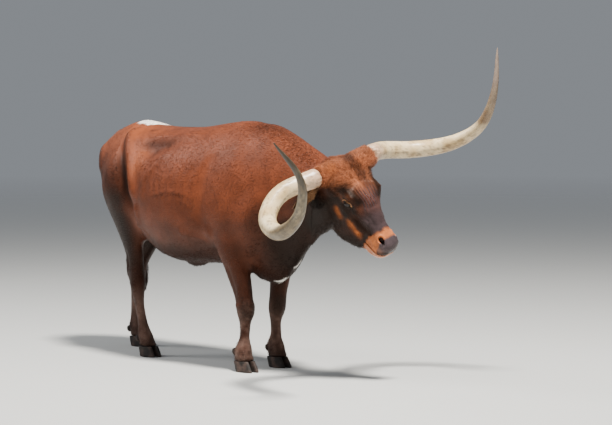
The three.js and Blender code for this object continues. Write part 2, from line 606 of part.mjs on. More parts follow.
const LEG_CUTS = {
  // The knee or hock level, the inner wall, and the outline of the upper leg from the side.
  fore: {
    level: 322,
    inner: 96,
    right: [
      [-175, 790],
      [140, 830],
      [186, 700],
      [165, 560],
      [190, 200],
      [-60, 200],
      [-110, 560],
      [-175, 690],
    ],
    left: [
      [-195, 790],
      [115, 830],
      [150, 700],
      [115, 560],
      [110, 200],
      [-150, 200],
      [-140, 560],
      [-195, 690],
    ],
  },
  hind: {
    level: 385,
    inner: 40,
    right: [
      [-1700, 1215],
      [-1380, 1240],
      [-1090, 1195],
      [-975, 1080],
      [-928, 900],
      [-930, 730],
      [-960, 560],
      [-960, 200],
      [-1700, 200],
    ],
    left: [
      [-1750, 1215],
      [-1400, 1240],
      [-1130, 1195],
      [-1030, 1080],
      [-1050, 900],
      [-1140, 740],
      [-1240, 620],
      [-1340, 500],
      [-1400, 200],
      [-1750, 200],
    ],
  },
};

function legSolid(rows, grow = 0) {
  return loft(limbRings(rows, LEG_SWELLS, 2 * (rows.length - 1), LEG_SIDES, grow));
}

// A large block with its face on a plane: what lies beyond it along the normal is kept or cut.
function halfSpace(point, normal) {
  const size = 8000;
  const geometry = new THREE.BoxGeometry(size, size, size);
  geometry.translate(0, 0, size / 2);
  const turn = new THREE.Quaternion().setFromUnitVectors(v3(0, 0, 1), normal.clone().normalize());
  geometry.applyQuaternion(turn);
  geometry.translate(point.x, point.y, point.z);
  return solidOf(geometry);
}
const above = (z) => halfSpace(v3(0, 0, z), v3(0, 0, 1));
const below = (z) => halfSpace(v3(0, 0, z), v3(0, 0, -1));

// The outline of an upper leg as a prism, from its inner wall outwards. Inset shrinks it all round.
function legPrism(cut, side, inset) {
  const corners = cut[side].map(([x, z]) => new THREE.Vector2(x, z));
  const count = corners.length;
  const clockwise = THREE.ShapeUtils.isClockWise(corners) ? -1 : 1;
  const moved = corners.map((corner, i) => {
    const before = corner.clone().sub(corners[(i + count - 1) % count]).normalize();
    const after = corners[(i + 1) % count].clone().sub(corner).normalize();
    const inward = v3(-before.y - after.y, before.x + after.x, 0).normalize();
    const spread = Math.sqrt((1 + before.dot(after)) / 2);
    const step = (clockwise * inset) / spread;
    return new THREE.Vector2(corner.x + inward.x * step, corner.y + inward.y * step);
  });
  const depth = 900;
  const geometry = new THREE.ExtrudeGeometry(new THREE.Shape(moved), { depth, bevelEnabled: false });
  geometry.deleteAttribute("normal");
  geometry.deleteAttribute("uv");
  geometry.rotateX(Math.PI / 2);
  const wall = cut.inner + inset;
  geometry.translate(0, side === "left" ? wall + depth : -wall, 0);
  return solidOf(geometry);
}

// Claws: two to a foot, flat soled, with the toe raked forward and a cleft between them
const CLAW = { length: 138, width: 64, flat: 0.7, cleft: 5, toe: 84, rake: 30 };
function clawSolid(inner) {
  const sides = 14;
  const rings = [0, 8, 30, CORONET].map((z, k) => {
    const shrink = [0.965, 1, 0.95, 0.88][k];
    return Array.from({ length: sides }, (_, i) => {
      const angle = (2 * Math.PI * i) / sides;
      const [across, ahead] = section(angle, 1.75, 2.4);
      const flat = across * inner < 0 ? CLAW.flat : 1; // the side on the cleft is flatter
      const x = (ahead > 0 ? CLAW.toe : CLAW.length - CLAW.toe) * ahead * shrink - (CLAW.rake * z) / CORONET;
      const curl = Math.max(0, ahead) ** 2 * -4 * inner;
      return v3(x, across * flat * (CLAW.width / 2) * shrink + curl, z);
    });
  });
  return loft(rings);
}

// Tail: the dock, then the switch of long hair

const TAIL_LINE = [
  [-1430, 0, 1350],
  [-1510, 0, 1338],
  [-1564, 6, 1250],
  [-1580, 26, 1100],
  [-1594, 80, 930],
  [-1608, 152, 770],
  [-1617, 212, 650],
];
const tailCurve = new THREE.CatmullRomCurve3(TAIL_LINE.map((p) => v3(...p)), false, "centripetal");
const tailRadius = (t) => mix(34, 12, Math.min(1, t * 1.25) ** 0.7);
const tailSolid = (grow = 0) =>
  tube(tailCurve, 20, 10, (t) => tailRadius(t) + grow, roundTube, v3(0, 1, 0));

// Switch: the long hair at the tail's end, in flat tapered locks around a short core
const SWITCH = {
  root: v3(-1616, 204, 668),
  core: [v3(-1623, 240, 570), v3(-1628, 254, 470)],
  end: v3(-1630, 262, 345),
  locks: 16,
  spread: 42,
  width: 9,
  thick: 4.5,
};
const TURN = 2.4; // how far round the tail each lock grows from the one above it

function lockSolid(root, tip, bend) {
  const curve = new THREE.QuadraticBezierCurve3(root, root.clone().lerp(tip, 0.5).add(bend), tip);
  const taper = (t) => SWITCH.width * (1 - 0.93 * t ** 1.6);
  return tube(curve, 3, 5, taper, () => SWITCH.thick / SWITCH.width, bend.clone().normalize());
}

function switchSolid() {
  const draw = mulberry(11);
  const core = new THREE.CatmullRomCurve3([SWITCH.root, ...SWITCH.core]);
  let made = tube(core, 6, 8, (t) => mix(14, 9, t), roundTube, v3(0, 1, 0));
  for (let i = 0; i < SWITCH.locks; i++) {
    const share = i / (SWITCH.locks - 1);
    const out = v3(Math.cos(i * TURN), Math.sin(i * TURN), 0);
    const root = core.getPoint(0.08 + 0.8 * share).addScaledVector(out, 5);
    const reach = mix(0.62, 1, draw()) * SWITCH.spread * mix(0.55, 1, Math.sin(Math.PI * share));
    const drop = mix(0.42, 0, Math.min(1, share * 1.25)) + 0.1 * draw();
    const tip = SWITCH.end.clone().lerp(SWITCH.root, drop).addScaledVector(out, reach * 0.75);
    made = made.add(lockSolid(root, tip, out.clone().multiplyScalar(reach * 0.7)));
  }
  return largest(made);
}

// A small repeatable random draw between 0 and 1
function mulberry(seed) {
  let state = seed;
  return () => {
    state = (state + 0x6d2b79f5) | 0;
    let t = Math.imul(state ^ (state >>> 15), 1 | state);
    t = (t + Math.imul(t ^ (t >>> 7), 61 | t)) ^ t;
    return ((t ^ (t >>> 14)) >>> 0) / 4294967296;
  };
}

// Sheath: the fold of skin under the belly
const SHEATH = { at: [-615, 0, 594], half: [125, 30, 36] };

// Materials
const finish = (color, roughness) => new THREE.MeshStandardMaterial({ color, roughness, metalness: 0 });
const COAT = 0x6e2f1b;
const coat = () => finish(COAT, 0.7);
const darkCoat = () => finish(0x3a1d15, 0.7);
const horn = () => finish(0xd8c8a6, 0.45);
const keratin = () => finish(0x2b2622, 0.5);
const wetEye = () => finish(0x120c09, 0.08);

// Assembly

const animal = new THREE.Group();
const headGroup = new THREE.Group();
headGroup.applyMatrix4(headMatrix);
animal.add(headGroup);

// Adds a solid as a named mesh, placed by the middle of its own box.
function addNode(name, solid, material, parent = animal) {
  const geometry = geometryOf(largest(solid));
  geometry.computeBoundingBox();
  const middle = geometry.boundingBox.getCenter(new THREE.Vector3());
  geometry.translate(-middle.x, -middle.y, -middle.z);
  const mesh = new THREE.Mesh(geometry, material);
  mesh.name = name;
  mesh.position.copy(middle);
  parent.add(mesh);
}

const inBody = (solid) => solid.transform(headMatrix.elements);
const inHead = (solid) => solid.transform(headMatrix.clone().invert().elements);
const CLEAR = GAP * 1.6; // what a neighbour is grown by before it cuts

// The flesh of the trunk, neck and legs is one body, parted by thin cuts.
const legs = [
  { name: "fore", rows: FORE },
  { name: "hind", rows: HIND },
];
const head = headSolid();
let flesh = torsoSolid().add(neckSolid()).add(inBody(head));
for (const { rows } of legs) {
  flesh = flesh.add(legSolid(rows.left)).add(legSolid(rows.right));
}
// The cuts before the shoulders and behind the jaws: a point, and the way towards the head.
const COLLAR = { at: v3(250, 0, 1080), normal: v3(0.94, 0, 0.34) };
const NAPE = {
  at: v3(-112, 0, 0).applyMatrix4(headMatrix),
  normal: v3(0.85, 0, 0.527).transformDirection(headMatrix),
};
const ahead = ({ at, normal }) => halfSpace(at.clone().addScaledVector(normal, GAP / 2), normal);
const behind = ({ at, normal }) =>
  halfSpace(at.clone().addScaledVector(normal, -GAP / 2), normal.clone().negate());
let torso = flesh.intersect(behind(COLLAR));
const neck = flesh.intersect(ahead(COLLAR)).intersect(behind(NAPE));
const headPart = inHead(flesh.intersect(ahead(NAPE)));
const grownHead = headSolid(CLEAR);
const legParts = [];
for (const { name, rows } of legs) {
  const cut = LEG_CUTS[name];
  for (const side of ["left", "right"]) {
    const upper = torso.intersect(legPrism(cut, side, GAP / 2)).intersect(above(cut.level + GAP / 2));
    const lower = legSolid(rows[side]).intersect(below(cut.level - GAP / 2));
    legParts.push({ name, side, rows: rows[side], upper, lower });
  }
}
for (const { name, side } of legParts) {
  torso = torso.subtract(legPrism(LEG_CUTS[name], side, -GAP / 2));
}

addNode("torso", torso, coat());
addNode("neck", neck, coat());
addNode("head", headPart, coat(), headGroup);
const neckInHead = inHead(neckSolid(CLEAR));
for (const side of ["left", "right"]) {
  const s = SIDES[side];
  addNode(`horn_${side}`, hornSolid(side).subtract(grownHead), horn(), headGroup);
  const ear = placedEar(side).subtract(grownHead).subtract(neckInHead);
  addNode(`ear_${side}`, ear, coat(), headGroup);
  const ball = egg([EYE.x, EYE.y * s, EYE.z], Array(3).fill(EYE.radius), [0, 0, 0], EYE_DETAIL);
  addNode(`eye_${side}`, ball, wetEye(), headGroup);
}

// Each leg is an upper and a lower length, with two claws and two dewclaws.
const PAIR = [
  ["outer", 1],
  ["inner", -1],
];
for (const { name, side, rows, upper, lower } of legParts) {
  addNode(`${name}leg_upper_${side}`, upper, coat());
  addNode(`${name}leg_lower_${side}`, lower, darkCoat());
  const end = rows.at(-1);
  const foot = new THREE.Group();
  foot.position.set(end.x + 18, end.y, 0);
  animal.add(foot);
  const fetlock = rows.at(-3);
  const grownLeg = legSolid(rows, CLEAR);
  for (const [which, way] of PAIR) {
    const outward = way * SIDES[side];
    const offset = (CLAW.width / 2) * CLAW.flat + CLAW.cleft / 2;
    const claw = clawSolid(outward).translate(0, outward * offset, 0);
    addNode(`claw_${name}_${side}_${which}`, claw, keratin(), foot);
    const at = [fetlock.x - fetlock.aft + 2, fetlock.y + outward * 25, fetlock.z - 12];
    const dewclaw = egg(at, [18, 14, 23], [0, -28, 0], [6, 5]).subtract(grownLeg);
    addNode(`dewclaw_${name}_${side}_${which}`, dewclaw, keratin());
  }
}

const grownTorso = torsoSolid(CLEAR);
addNode("tail", tailSolid().subtract(grownTorso), coat());
addNode("tail_switch", switchSolid().subtract(tailSolid(CLEAR)), darkCoat());
addNode("sheath", egg(SHEATH.at, SHEATH.half, [0, -4, 0], [16, 10]).subtract(grownTorso), coat());

// The origin is the middle of the whole animal's box, on the ground.
const outline = new THREE.Box3().setFromObject(animal, true);
const centre = outline.getCenter(new THREE.Vector3());
animal.position.set(-centre.x, -centre.y, -outline.min.z);

export default animal;
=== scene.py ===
import math

import bpy
import numpy as np
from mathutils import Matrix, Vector


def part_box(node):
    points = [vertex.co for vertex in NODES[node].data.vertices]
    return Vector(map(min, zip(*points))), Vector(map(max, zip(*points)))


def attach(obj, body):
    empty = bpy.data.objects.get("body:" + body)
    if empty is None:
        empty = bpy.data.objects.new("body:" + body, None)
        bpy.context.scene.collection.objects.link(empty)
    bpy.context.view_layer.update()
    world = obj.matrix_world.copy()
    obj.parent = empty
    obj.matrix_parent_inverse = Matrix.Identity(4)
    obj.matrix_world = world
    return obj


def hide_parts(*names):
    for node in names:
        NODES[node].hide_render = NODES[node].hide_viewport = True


# Frame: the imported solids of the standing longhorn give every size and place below.
# Metres, with +X towards the head, +Y the animal's left and the ground at zero.
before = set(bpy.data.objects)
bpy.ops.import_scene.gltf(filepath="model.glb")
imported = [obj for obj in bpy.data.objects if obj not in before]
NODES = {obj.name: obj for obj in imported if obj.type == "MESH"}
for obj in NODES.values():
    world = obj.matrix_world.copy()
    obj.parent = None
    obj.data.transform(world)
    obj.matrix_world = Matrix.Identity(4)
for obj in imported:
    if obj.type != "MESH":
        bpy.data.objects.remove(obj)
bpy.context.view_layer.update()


# Skin: the flesh of the whole animal under one closed hide, from the muzzle to the tail.
# It is cast over the solids of the flesh, eased across their joins and sunk below the hair.
FLESH = ["torso", "neck", "head", "sheath", "tail", "ear_left", "ear_right"]
for end in ("fore", "hind"):
    for part in ("upper", "lower"):
        FLESH += [f"{end}leg_{part}_{side}" for side in ("left", "right")]
JOIN_OVER = 0.0012
TRUNK_GRAIN = 0.0136
PART_GRAINS = {"head": 0.0058, "tail": 0.0062, "ear_left": 0.0042, "ear_right": 0.0042}
SOCKET_FILLS = ["eye_left", "eye_right"]
COAT_DEPTH = 0.004
TRUNK_BACK = -1.545

trunk_low, trunk_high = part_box("torso")
# The place under the withers that the body's own measures start from
HOME = np.array([trunk_low[0] - TRUNK_BACK, (trunk_low[1] + trunk_high[1]) / 2, 0.0])


def unit(v):
    v = np.asarray(v, dtype=float)
    return v / np.maximum(np.linalg.norm(v, axis=-1, keepdims=True), 1e-9)


def rise(value, low, high):
    """0 below low, 1 above high, and an even curve between them."""
    t = np.clip((value - low) / (high - low), 0, 1)
    return t * t * (3 - 2 * t)


# The head's own frame: its origin between the horns, x down the face, y to its left
HEAD_AT = np.array([0.832, -0.009, 1.211])
HEAD_AXES = unit([[0.522, 0.304, -0.797], [-0.087, 0.948, 0.305], [0.849, -0.090, 0.521]])


def to_head(points):
    return (points - HOME - HEAD_AT) @ HEAD_AXES.T


def only(*objs):
    """Selects these objects and nothing else, the first one active."""
    bpy.ops.object.select_all(action="DESELECT")
    for obj in objs:
        obj.select_set(True)
    bpy.context.view_layer.objects.active = objs[0]


def apply(obj, kind, **settings):
    """Adds one modifier to an object and applies it."""
    only(obj)
    modifier = obj.modifiers.new(kind.title(), kind)
    for key, value in settings.items():
        setattr(modifier, key, value)
    bpy.ops.object.modifier_apply(modifier=modifier.name)


def edit(obj, operator, **settings):
    """Runs one of the edit mode's operators on the whole of an object's mesh."""
    only(obj)
    bpy.ops.object.mode_set(mode="EDIT")
    bpy.ops.mesh.select_all(action="SELECT")
    operator(**settings)
    bpy.ops.object.mode_set(mode="OBJECT")


def rows(items, what, wide, kind=np.int32):
    """One value of every item in a mesh's list, as rows of an array."""
    flat = np.empty(len(items) * wide, dtype=kind)
    items.foreach_get(what, flat)
    return flat.reshape(-1, wide)


def read(obj, what="co"):
    return rows(obj.data.vertices, what, 3, np.float32).astype(float)


def put_points(obj, points):
    obj.data.vertices.foreach_set("co", points.astype(np.float32).ravel())
    obj.data.update()


def edges_of(obj):
    return rows(obj.data.edges, "vertices", 2)


def copy_of(names, label):
    """One merged mesh made of copies of CAD nodes, which stay as they are."""
    copies = []
    for name in names:
        mesh = NODES[name].data.copy()
        mesh.materials.clear()
        copy = bpy.data.objects.new(label, mesh)
        bpy.context.collection.objects.link(copy)
        copies.append(copy)
    only(*copies)
    if len(copies) > 1:
        bpy.ops.object.join()
    obj = bpy.context.object
    obj.name = label
    edit(obj, bpy.ops.mesh.remove_doubles, threshold=0.00002)
    return obj


def cast(label, names, grain):
    """One closed mesh over some nodes, its faces all about as long as the grain."""
    obj = copy_of(names, label)
    put_points(obj, read(obj) + read(obj, "normal") * JOIN_OVER)
    apply(obj, "REMESH", mode="VOXEL", voxel_size=grain, adaptivity=0)
    return obj


def relax(points, edges, share, times):
    """Moves points towards the middle of their neighbours, each by its own share, many times."""
    count = np.bincount(edges.ravel(), minlength=len(points))[:, None]
    first, second = edges.T
    for _ in range(times):
        total = np.empty_like(points)
        for axis in range(3):
            total[:, axis] = np.bincount(first, points[second, axis], len(points))
            total[:, axis] += np.bincount(second, points[first, axis], len(points))
        points = points + share * (total / count - points)
    return points


# The trunk and legs are cast coarse and eased out of the solids' flat faces.
skin = cast("skin", [name for name in FLESH if name not in PART_GRAINS], TRUNK_GRAIN)
# Its open ends, where the head and tail join it, keep their outline.
NAPE = np.array([-0.112, 0, 0])
NAPE_WAY = unit([0.85, 0, 0.527])
TAIL_ROOT = np.array([-1.50, 0, 1.34])
points = read(skin)
on_trunk = rise((points - HOME)[:, 2], 0.52, 0.86)
on_trunk = on_trunk * rise(-(to_head(points) - NAPE) @ NAPE_WAY, 0.035, 0.130)
on_trunk = on_trunk * rise(np.linalg.norm(points - HOME - TAIL_ROOT, axis=1), 0.05, 0.12)
edges = edges_of(skin)
points = relax(points, edges, (0.5 * on_trunk)[:, None], 40)
points = relax(points, edges, 0.3, 3)
put_points(skin, points)

# The head, ears and tail are cast finer and joined to it.
for name, grain in PART_GRAINS.items():
    part = cast(name, [name] + (SOCKET_FILLS if name == "head" else []), grain)
    put_points(part, relax(read(part), edges_of(part), 0.4, 5 if name == "head" else 2))
    apply(skin, "BOOLEAN", operation="UNION", object=part, solver="MANIFOLD")
    bpy.data.objects.remove(part)

# The joins are eased, so that the hide runs on without a step.
points = read(skin)
ease = 1 - rise(np.abs((to_head(points) - NAPE) @ NAPE_WAY), 0.012, 0.075)
ease = np.maximum(ease, 1 - rise(np.linalg.norm(points - HOME - TAIL_ROOT, axis=1), 0.06, 0.12))
edges = edges_of(skin)
points = relax(points, edges, (0.5 * ease)[:, None], 36)
put_points(skin, points)

# The eyes, nostrils and lips need finer faces than the rest of the head.
EYE = np.array([0.199, 0.107, -0.052])
EYE_RADIUS = 0.021
NOSTRIL = np.array([0.470, 0.050, -0.066])
FINE_PLACES = [
    (EYE, 0.060),
    (EYE, 0.036),
    (NOSTRIL, 0.034),
    (np.array([0.215, 0.0, 0.005]), 0.096),
    (np.array([0.350, 0.075, -0.075]), 0.038),
    (np.array([0.450, 0.060, -0.150]), 0.046),
]


def finer(obj, chosen):
    """Splits each face whose corners are all chosen into four."""
    mesh = obj.data
    corner_points = rows(mesh.loops, "vertex_index", 1)[:, 0]
    first_corners = rows(mesh.polygons, "loop_start", 1)[:, 0]
    whole = np.logical_and.reduceat(chosen[corner_points], first_corners)
    only(obj)
    bpy.context.tool_settings.mesh_select_mode = (False, False, True)
    bpy.ops.object.mode_set(mode="EDIT")
    bpy.ops.mesh.select_all(action="DESELECT")
    bpy.ops.object.mode_set(mode="OBJECT")
    mesh.polygons.foreach_set("select", whole)
    bpy.ops.object.mode_set(mode="EDIT")
    bpy.ops.mesh.subdivide(number_cuts=1, smoothness=0.0)
    bpy.ops.object.mode_set(mode="OBJECT")


for place, reach in FINE_PLACES:
    spots = to_head(read(skin))
    spots[:, 1] = np.abs(spots[:, 1])
    finer(skin, np.linalg.norm(spots - place, axis=1) < reach)


# Muscle and bone under the hide: swellings and hollows at a place, folds and grooves along a line.
# Each is measured from the side of the body, in metres from under the withers.
def from_line(flat_points, line):
    """Distance from a line of points, and how far along it the nearest place lies, 0 to 1."""
    line = np.asarray(line, dtype=float)
    lengths = np.linalg.norm(np.diff(line, axis=0), axis=1)
    done = np.concatenate([[0], np.cumsum(lengths)]) / lengths.sum()
    best = np.full(len(flat_points), 1e9)
    along = np.zeros(len(flat_points))
    for start, end, low, high in zip(line[:-1], line[1:], done[:-1], done[1:]):
        way = end - start
        t = np.clip((flat_points - start) @ way / (way @ way), 0, 1)
        gap = np.linalg.norm(flat_points - start - t[:, None] * way, axis=1)
        nearer = gap < best
        best[nearer] = gap[nearer]
        along[nearer] = (low + t * (high - low))[nearer]
    return best, along


def fold(flat_points, line, width, ends=0.18):
    """1 on a line, falling to 0 away from it and towards its two ends."""
    gap, along = from_line(flat_points, line)
    return np.exp(-((gap / width) ** 2)) * rise(along, 0, ends) * (1 - rise(along, 1 - ends, 1))


def spot(points, at, reach):
    return np.exp(-np.sum(((points - at) / reach) ** 2, axis=1))


HOOK_EDGE = [(-1.115, 1.40), (-1.068, 1.331), (-1.014, 1.253)]
HOOK_EDGE += [(-0.945, 1.164), (-0.880, 1.05), (-0.848, 0.93)]
BEHIND_HOOK = [(-1.150, 1.30), (-1.092, 1.23), (-1.035, 1.133)]
BEHIND_HOOK += [(-0.985, 1.02), (-0.945, 0.92), (-0.925, 0.83)]
FLANK_VEIN = [(-0.66, 0.98), (-0.45, 1.02), (-0.25, 1.01)]
# Each fold is a line in the side view, its half width and how far it stands out.
SIDE_FOLDS = [
    # The hook bone's edge, running down to the stifle, and the hollow behind it
    (HOOK_EDGE, 0.044, 0.024),
    ([(-0.848, 0.93), (-0.843, 0.86), (-0.845, 0.79)], 0.040, 0.014),
    (BEHIND_HOOK, 0.034, -0.018),
    # The edges of the hollow before the hook bone, above it and in front
    ([(-0.97, 1.375), (-0.80, 1.340), (-0.60, 1.345), (-0.30, 1.365)], 0.026, 0.010),
    ([(-0.52, 1.28), (-0.63, 1.18), (-0.72, 1.08), (-0.75, 0.92)], 0.036, 0.008),
    # Thigh, pin bone and the skin fold of the flank
    ([(-1.44, 1.30), (-1.40, 1.20), (-1.385, 1.10)], 0.045, 0.008),
    ([(-0.872, 0.820), (-0.81, 0.768), (-0.74, 0.735)], 0.018, 0.010),
    # The shoulder blade's ridge, the grooves behind and before it, and the one beside the brisket
    ([(-0.02, 1.38), (0.07, 1.20), (0.16, 1.02)], 0.060, 0.006),
    ([(-0.12, 1.28), (-0.16, 1.12), (-0.18, 0.92), (-0.17, 0.78)], 0.045, -0.009),
    ([(0.14, 1.34), (0.24, 1.20), (0.32, 1.02), (0.35, 0.86)], 0.050, -0.006),
    ([(0.33, 0.82), (0.24, 0.70), (0.14, 0.62)], 0.034, -0.010),
    # Throat vein's furrow, and veins under the belly and on the flank
    ([(0.70, 1.02), (0.55, 0.95), (0.42, 0.88), (0.34, 0.82)], 0.030, -0.008),
    ([(-0.40, 0.80), (-0.28, 0.76), (-0.16, 0.74)], 0.020, 0.004),
    (FLANK_VEIN, 0.012, 0.003),
]
RIBS = 7
SIDE_FOLDS += [
    ([(-0.20 - 0.066 * i, 1.25), (-0.245 - 0.066 * i, 1.08), (-0.225 - 0.062 * i, 0.92)], 0.020, 0.0014)
    for i in range(RIBS)
]
# Each spot is a place in the side view, its reach each way and how far it stands out.
# They are the hollow before the hook bone, then the hook, shoulder point, arm, elbow and thigh.
SIDE_SPOTS = [
    ((-0.860, 1.272), (0.060, 0.036), -0.011),
    ((-0.755, 1.252), (0.085, 0.052), -0.017),
    ((-0.640, 1.282), (0.075, 0.030), -0.010),
    ((-1.075, 1.345), (0.045, 0.036), 0.014),
    ((0.265, 0.960), (0.075, 0.085), 0.010),
    ((-0.02, 0.930), (0.100, 0.130), 0.010),
    ((-0.135, 0.795), (0.036, 0.036), 0.012),
    ((-1.17, 1.02), (0.12, 0.17), 0.014),
]
# Tendons, hocks, knees and the hollows between them, which differ as the legs stand differently.
LEG_FOLDS = {
    "right": [
        ([(-1.345, 1.20), (-1.345, 1.02), (-1.275, 0.85), (-1.20, 0.72)], 0.024, -0.008),
        ([(-1.125, 0.64), (-1.120, 0.58), (-1.115, 0.52)], 0.020, -0.010),
        ([(-1.072, 0.36), (-1.052, 0.28), (-1.026, 0.20)], 0.010, -0.005),
        ([(0.070, 0.29), (0.062, 0.23), (0.052, 0.17)], 0.010, -0.005),
        ([(0.020, 0.62), (0.045, 0.52), (0.065, 0.43)], 0.018, -0.008),
        ([(0.118, 0.60), (0.100, 0.50), (0.096, 0.42)], 0.020, 0.005),
        ([(0.050, 0.385), (0.088, 0.378), (0.122, 0.385)], 0.014, 0.006),
        ([(0.056, 0.335), (0.088, 0.330), (0.116, 0.337)], 0.010, -0.004),
        ([(-1.155, 0.60), (-1.15, 0.54), (-1.14, 0.47)], 0.016, 0.006),
        ([(-1.090, 0.43), (-1.060, 0.42), (-1.030, 0.43)], 0.016, 0.006),
    ],
    "left": [
        ([(-1.42, 1.20), (-1.45, 1.02), (-1.455, 0.85), (-1.47, 0.72)], 0.024, -0.008),
        ([(-1.50, 0.64), (-1.52, 0.58), (-1.54, 0.52)], 0.020, -0.010),
        ([(-1.535, 0.36), (-1.545, 0.28), (-1.545, 0.20)], 0.010, -0.005),
    ],
}

SIGNS = {"left": 1, "right": -1}

points = read(skin)
normals = read(skin, "normal")
body = points - HOME
side_view = body[:, [0, 2]]
behind_head = 1 - rise(to_head(points)[:, 0], -0.16, -0.06) * rise(body[:, 0], 0.5, 0.6)
push = np.zeros(len(points))
for line, width, high in SIDE_FOLDS:
    push += high * fold(side_view, line, width)
for at, reach, high in SIDE_SPOTS:
    push += high * spot(side_view, at, reach)
for side, sign in SIGNS.items():
    here = rise(sign * body[:, 1], 0.02, 0.06)
    for line, width, high in LEG_FOLDS[side]:
        push += here * high * fold(side_view, line, width)
push *= rise(np.abs(normals[:, 1]), 0.15, 0.45) * behind_head

# Head: long bony face with a high brow, folds between the eyes and a broad damp muzzle.
# All of it is in the head's own frame, the same on both sides of its middle.
FACE_SPOTS = [
    # Cheek, jowl, lips, the tip of the nose, the brow's dip and the temple
    ((0.300, 0.070, -0.070), (0.060, 0.030, 0.030), -0.004),
    ((0.120, 0.105, -0.220), (0.080, 0.060, 0.080), 0.006),
    ((0.455, 0.068, -0.118), (0.045, 0.030, 0.020), 0.004),
    ((0.468, 0.030, -0.205), (0.036, 0.050, 0.022), 0.004),
    ((0.500, 0.000, -0.062), (0.030, 0.020, 0.030), -0.003),
    ((0.170, 0.000, 0.010), (0.060, 0.026, 0.040), -0.006),
    ((0.090, 0.108, -0.060), (0.050, 0.040, 0.030), -0.006),
]
CHEEK_BONE = [(0.165, 0.118, -0.092), (0.245, 0.108, -0.118), (0.330, 0.085, -0.128), (0.385, 0.072, -0.126)]
NOSE_EDGE = [(0.240, 0.106, -0.082), (0.300, 0.084, -0.062), (0.365, 0.062, -0.060), (0.400, 0.060, -0.078)]
JAW_LINE = [(0.130, 0.118, -0.130), (0.225, 0.112, -0.165), (0.285, 0.095, -0.235), (0.270, 0.060, -0.320)]
# Ridges and grooves of the cheek bone, nose, jaw, eye corner, nostril and brow
FACE_FOLDS = [
    (CHEEK_BONE, 0.015, 0.007),
    (NOSE_EDGE, 0.009, 0.006),
    ([(0.262, 0.102, -0.098), (0.320, 0.086, -0.094), (0.385, 0.070, -0.100)], 0.010, -0.006),
    ([(0.270, 0.070, -0.026), (0.330, 0.052, -0.030), (0.395, 0.046, -0.048)], 0.009, -0.004),
    (JAW_LINE, 0.020, -0.006),
    ([(0.228, 0.112, -0.070), (0.270, 0.098, -0.090), (0.310, 0.086, -0.104)], 0.008, -0.005),
    ([(0.350, 0.058, -0.050), (0.385, 0.066, -0.075), (0.415, 0.068, -0.105)], 0.010, -0.004),
    ([(0.400, 0.060, -0.060), (0.420, 0.068, -0.095), (0.425, 0.070, -0.130)], 0.009, 0.003),
    ([(0.330, 0.052, -0.020), (0.260, 0.066, -0.004), (0.200, 0.080, 0.010)], 0.018, 0.004),
]
WRINKLES = 4
WRINKLE_WIDE = 0.0070
WRINKLE_HIGH = 0.0075
for i in range(WRINKLES):
    wrinkle = [
        (0.120 + 0.008 * i, 0.012 + 0.020 * i, 0.02),
        (0.180, 0.016 + 0.0195 * i, 0.015),
        (0.235, 0.006 + 0.0185 * i, 0.008),
        (0.295, 0.009 + 0.013 * i, 0),
    ]
    FACE_FOLDS.append((wrinkle, WRINKLE_WIDE, WRINKLE_HIGH))


def both_sides(head):
    """Places in the head's frame with those on its right folded over onto its left."""
    return np.stack([head[:, 0], np.abs(head[:, 1]), head[:, 2]], axis=1)


face = to_head(points)
mirrored = both_sides(face)
on_face = 1 - behind_head
for at, reach, high in FACE_SPOTS:
    push += on_face * high * spot(mirrored, at, reach)
for line, width, high in FACE_FOLDS:
    push += on_face * high * fold(mirrored, line, width)
points = points + normals * (push - COAT_DEPTH * rise(face[:, 0], 0.42, 0.38))[:, None]
put_points(skin, points)

# Mouth: a crease in the hide from each corner round the front, between two rounded lips.
# It is pressed into the muzzle along a slanting line, the same on both sides.
MOUTH_BACK = 0.395
MOUTH_LOW = -0.174
MOUTH_SLOPE = 0.34
MOUTH_DEEP = 0.006


def off_mouth(head):
    """How far above the line of the lips a place lies, in the head's frame."""
    return head[:, 2] - (MOUTH_LOW + MOUTH_SLOPE * (head[:, 0] - MOUTH_BACK))


points = read(skin)
normals = read(skin, "normal")
face = to_head(points)
off = off_mouth(face)
in_mouth = rise(face[:, 0], MOUTH_BACK - 0.005, MOUTH_BACK + 0.035) * rise(face[:, 0], 0.25, 0.3)
crease = np.exp(-((off / 0.0045) ** 2)) * in_mouth
upper_lip = np.exp(-(((off - 0.013) / 0.010) ** 2)) * in_mouth
lower_lip = np.exp(-(((off + 0.012) / 0.008) ** 2)) * in_mouth
push = -MOUTH_DEEP * crease + 0.0025 * upper_lip + 0.002 * lower_lip
points = points + normals * push[:, None]

# Nostrils: comma-shaped, a round hollow behind with a groove that curls forward and down from it.
# Each is sunk into the bare skin of the muzzle and has a raised rim.
NOSTRIL_LINE = [(0.460, 0.056, -0.058), (0.475, 0.050, -0.062)]
NOSTRIL_LINE += [(0.492, 0.050, -0.070), (0.503, 0.056, -0.084)]
gap, along = from_line(both_sides(to_head(points)), NOSTRIL_LINE)
wide = 0.0122 - 0.0065 * along
hollow = np.exp(-((gap / wide) ** 4)) * (0.026 - 0.014 * along)
rim = np.exp(-(((gap - wide * 1.75) / 0.0055) ** 2)) * 0.0035
nostril_shade = np.exp(-((gap / (wide * 1.12)) ** 6))
points = points + normals * (rim - hollow)[:, None]

# Eyelids: each opening is a slanted almond on the ball, with a thick rim above and below.
# The hide round it is drawn out over the ball and sinks behind it inside the opening.
LID_LONG = 0.0235
LID_HIGH = {"above": 0.0135, "below": 0.0110}
LID_THICK = 0.0036
LID_TILT = math.radians(26)
LID_AREA = 2.3


def from_head(points):
    return np.asarray(points) @ HEAD_AXES + HEAD_AT + HOME


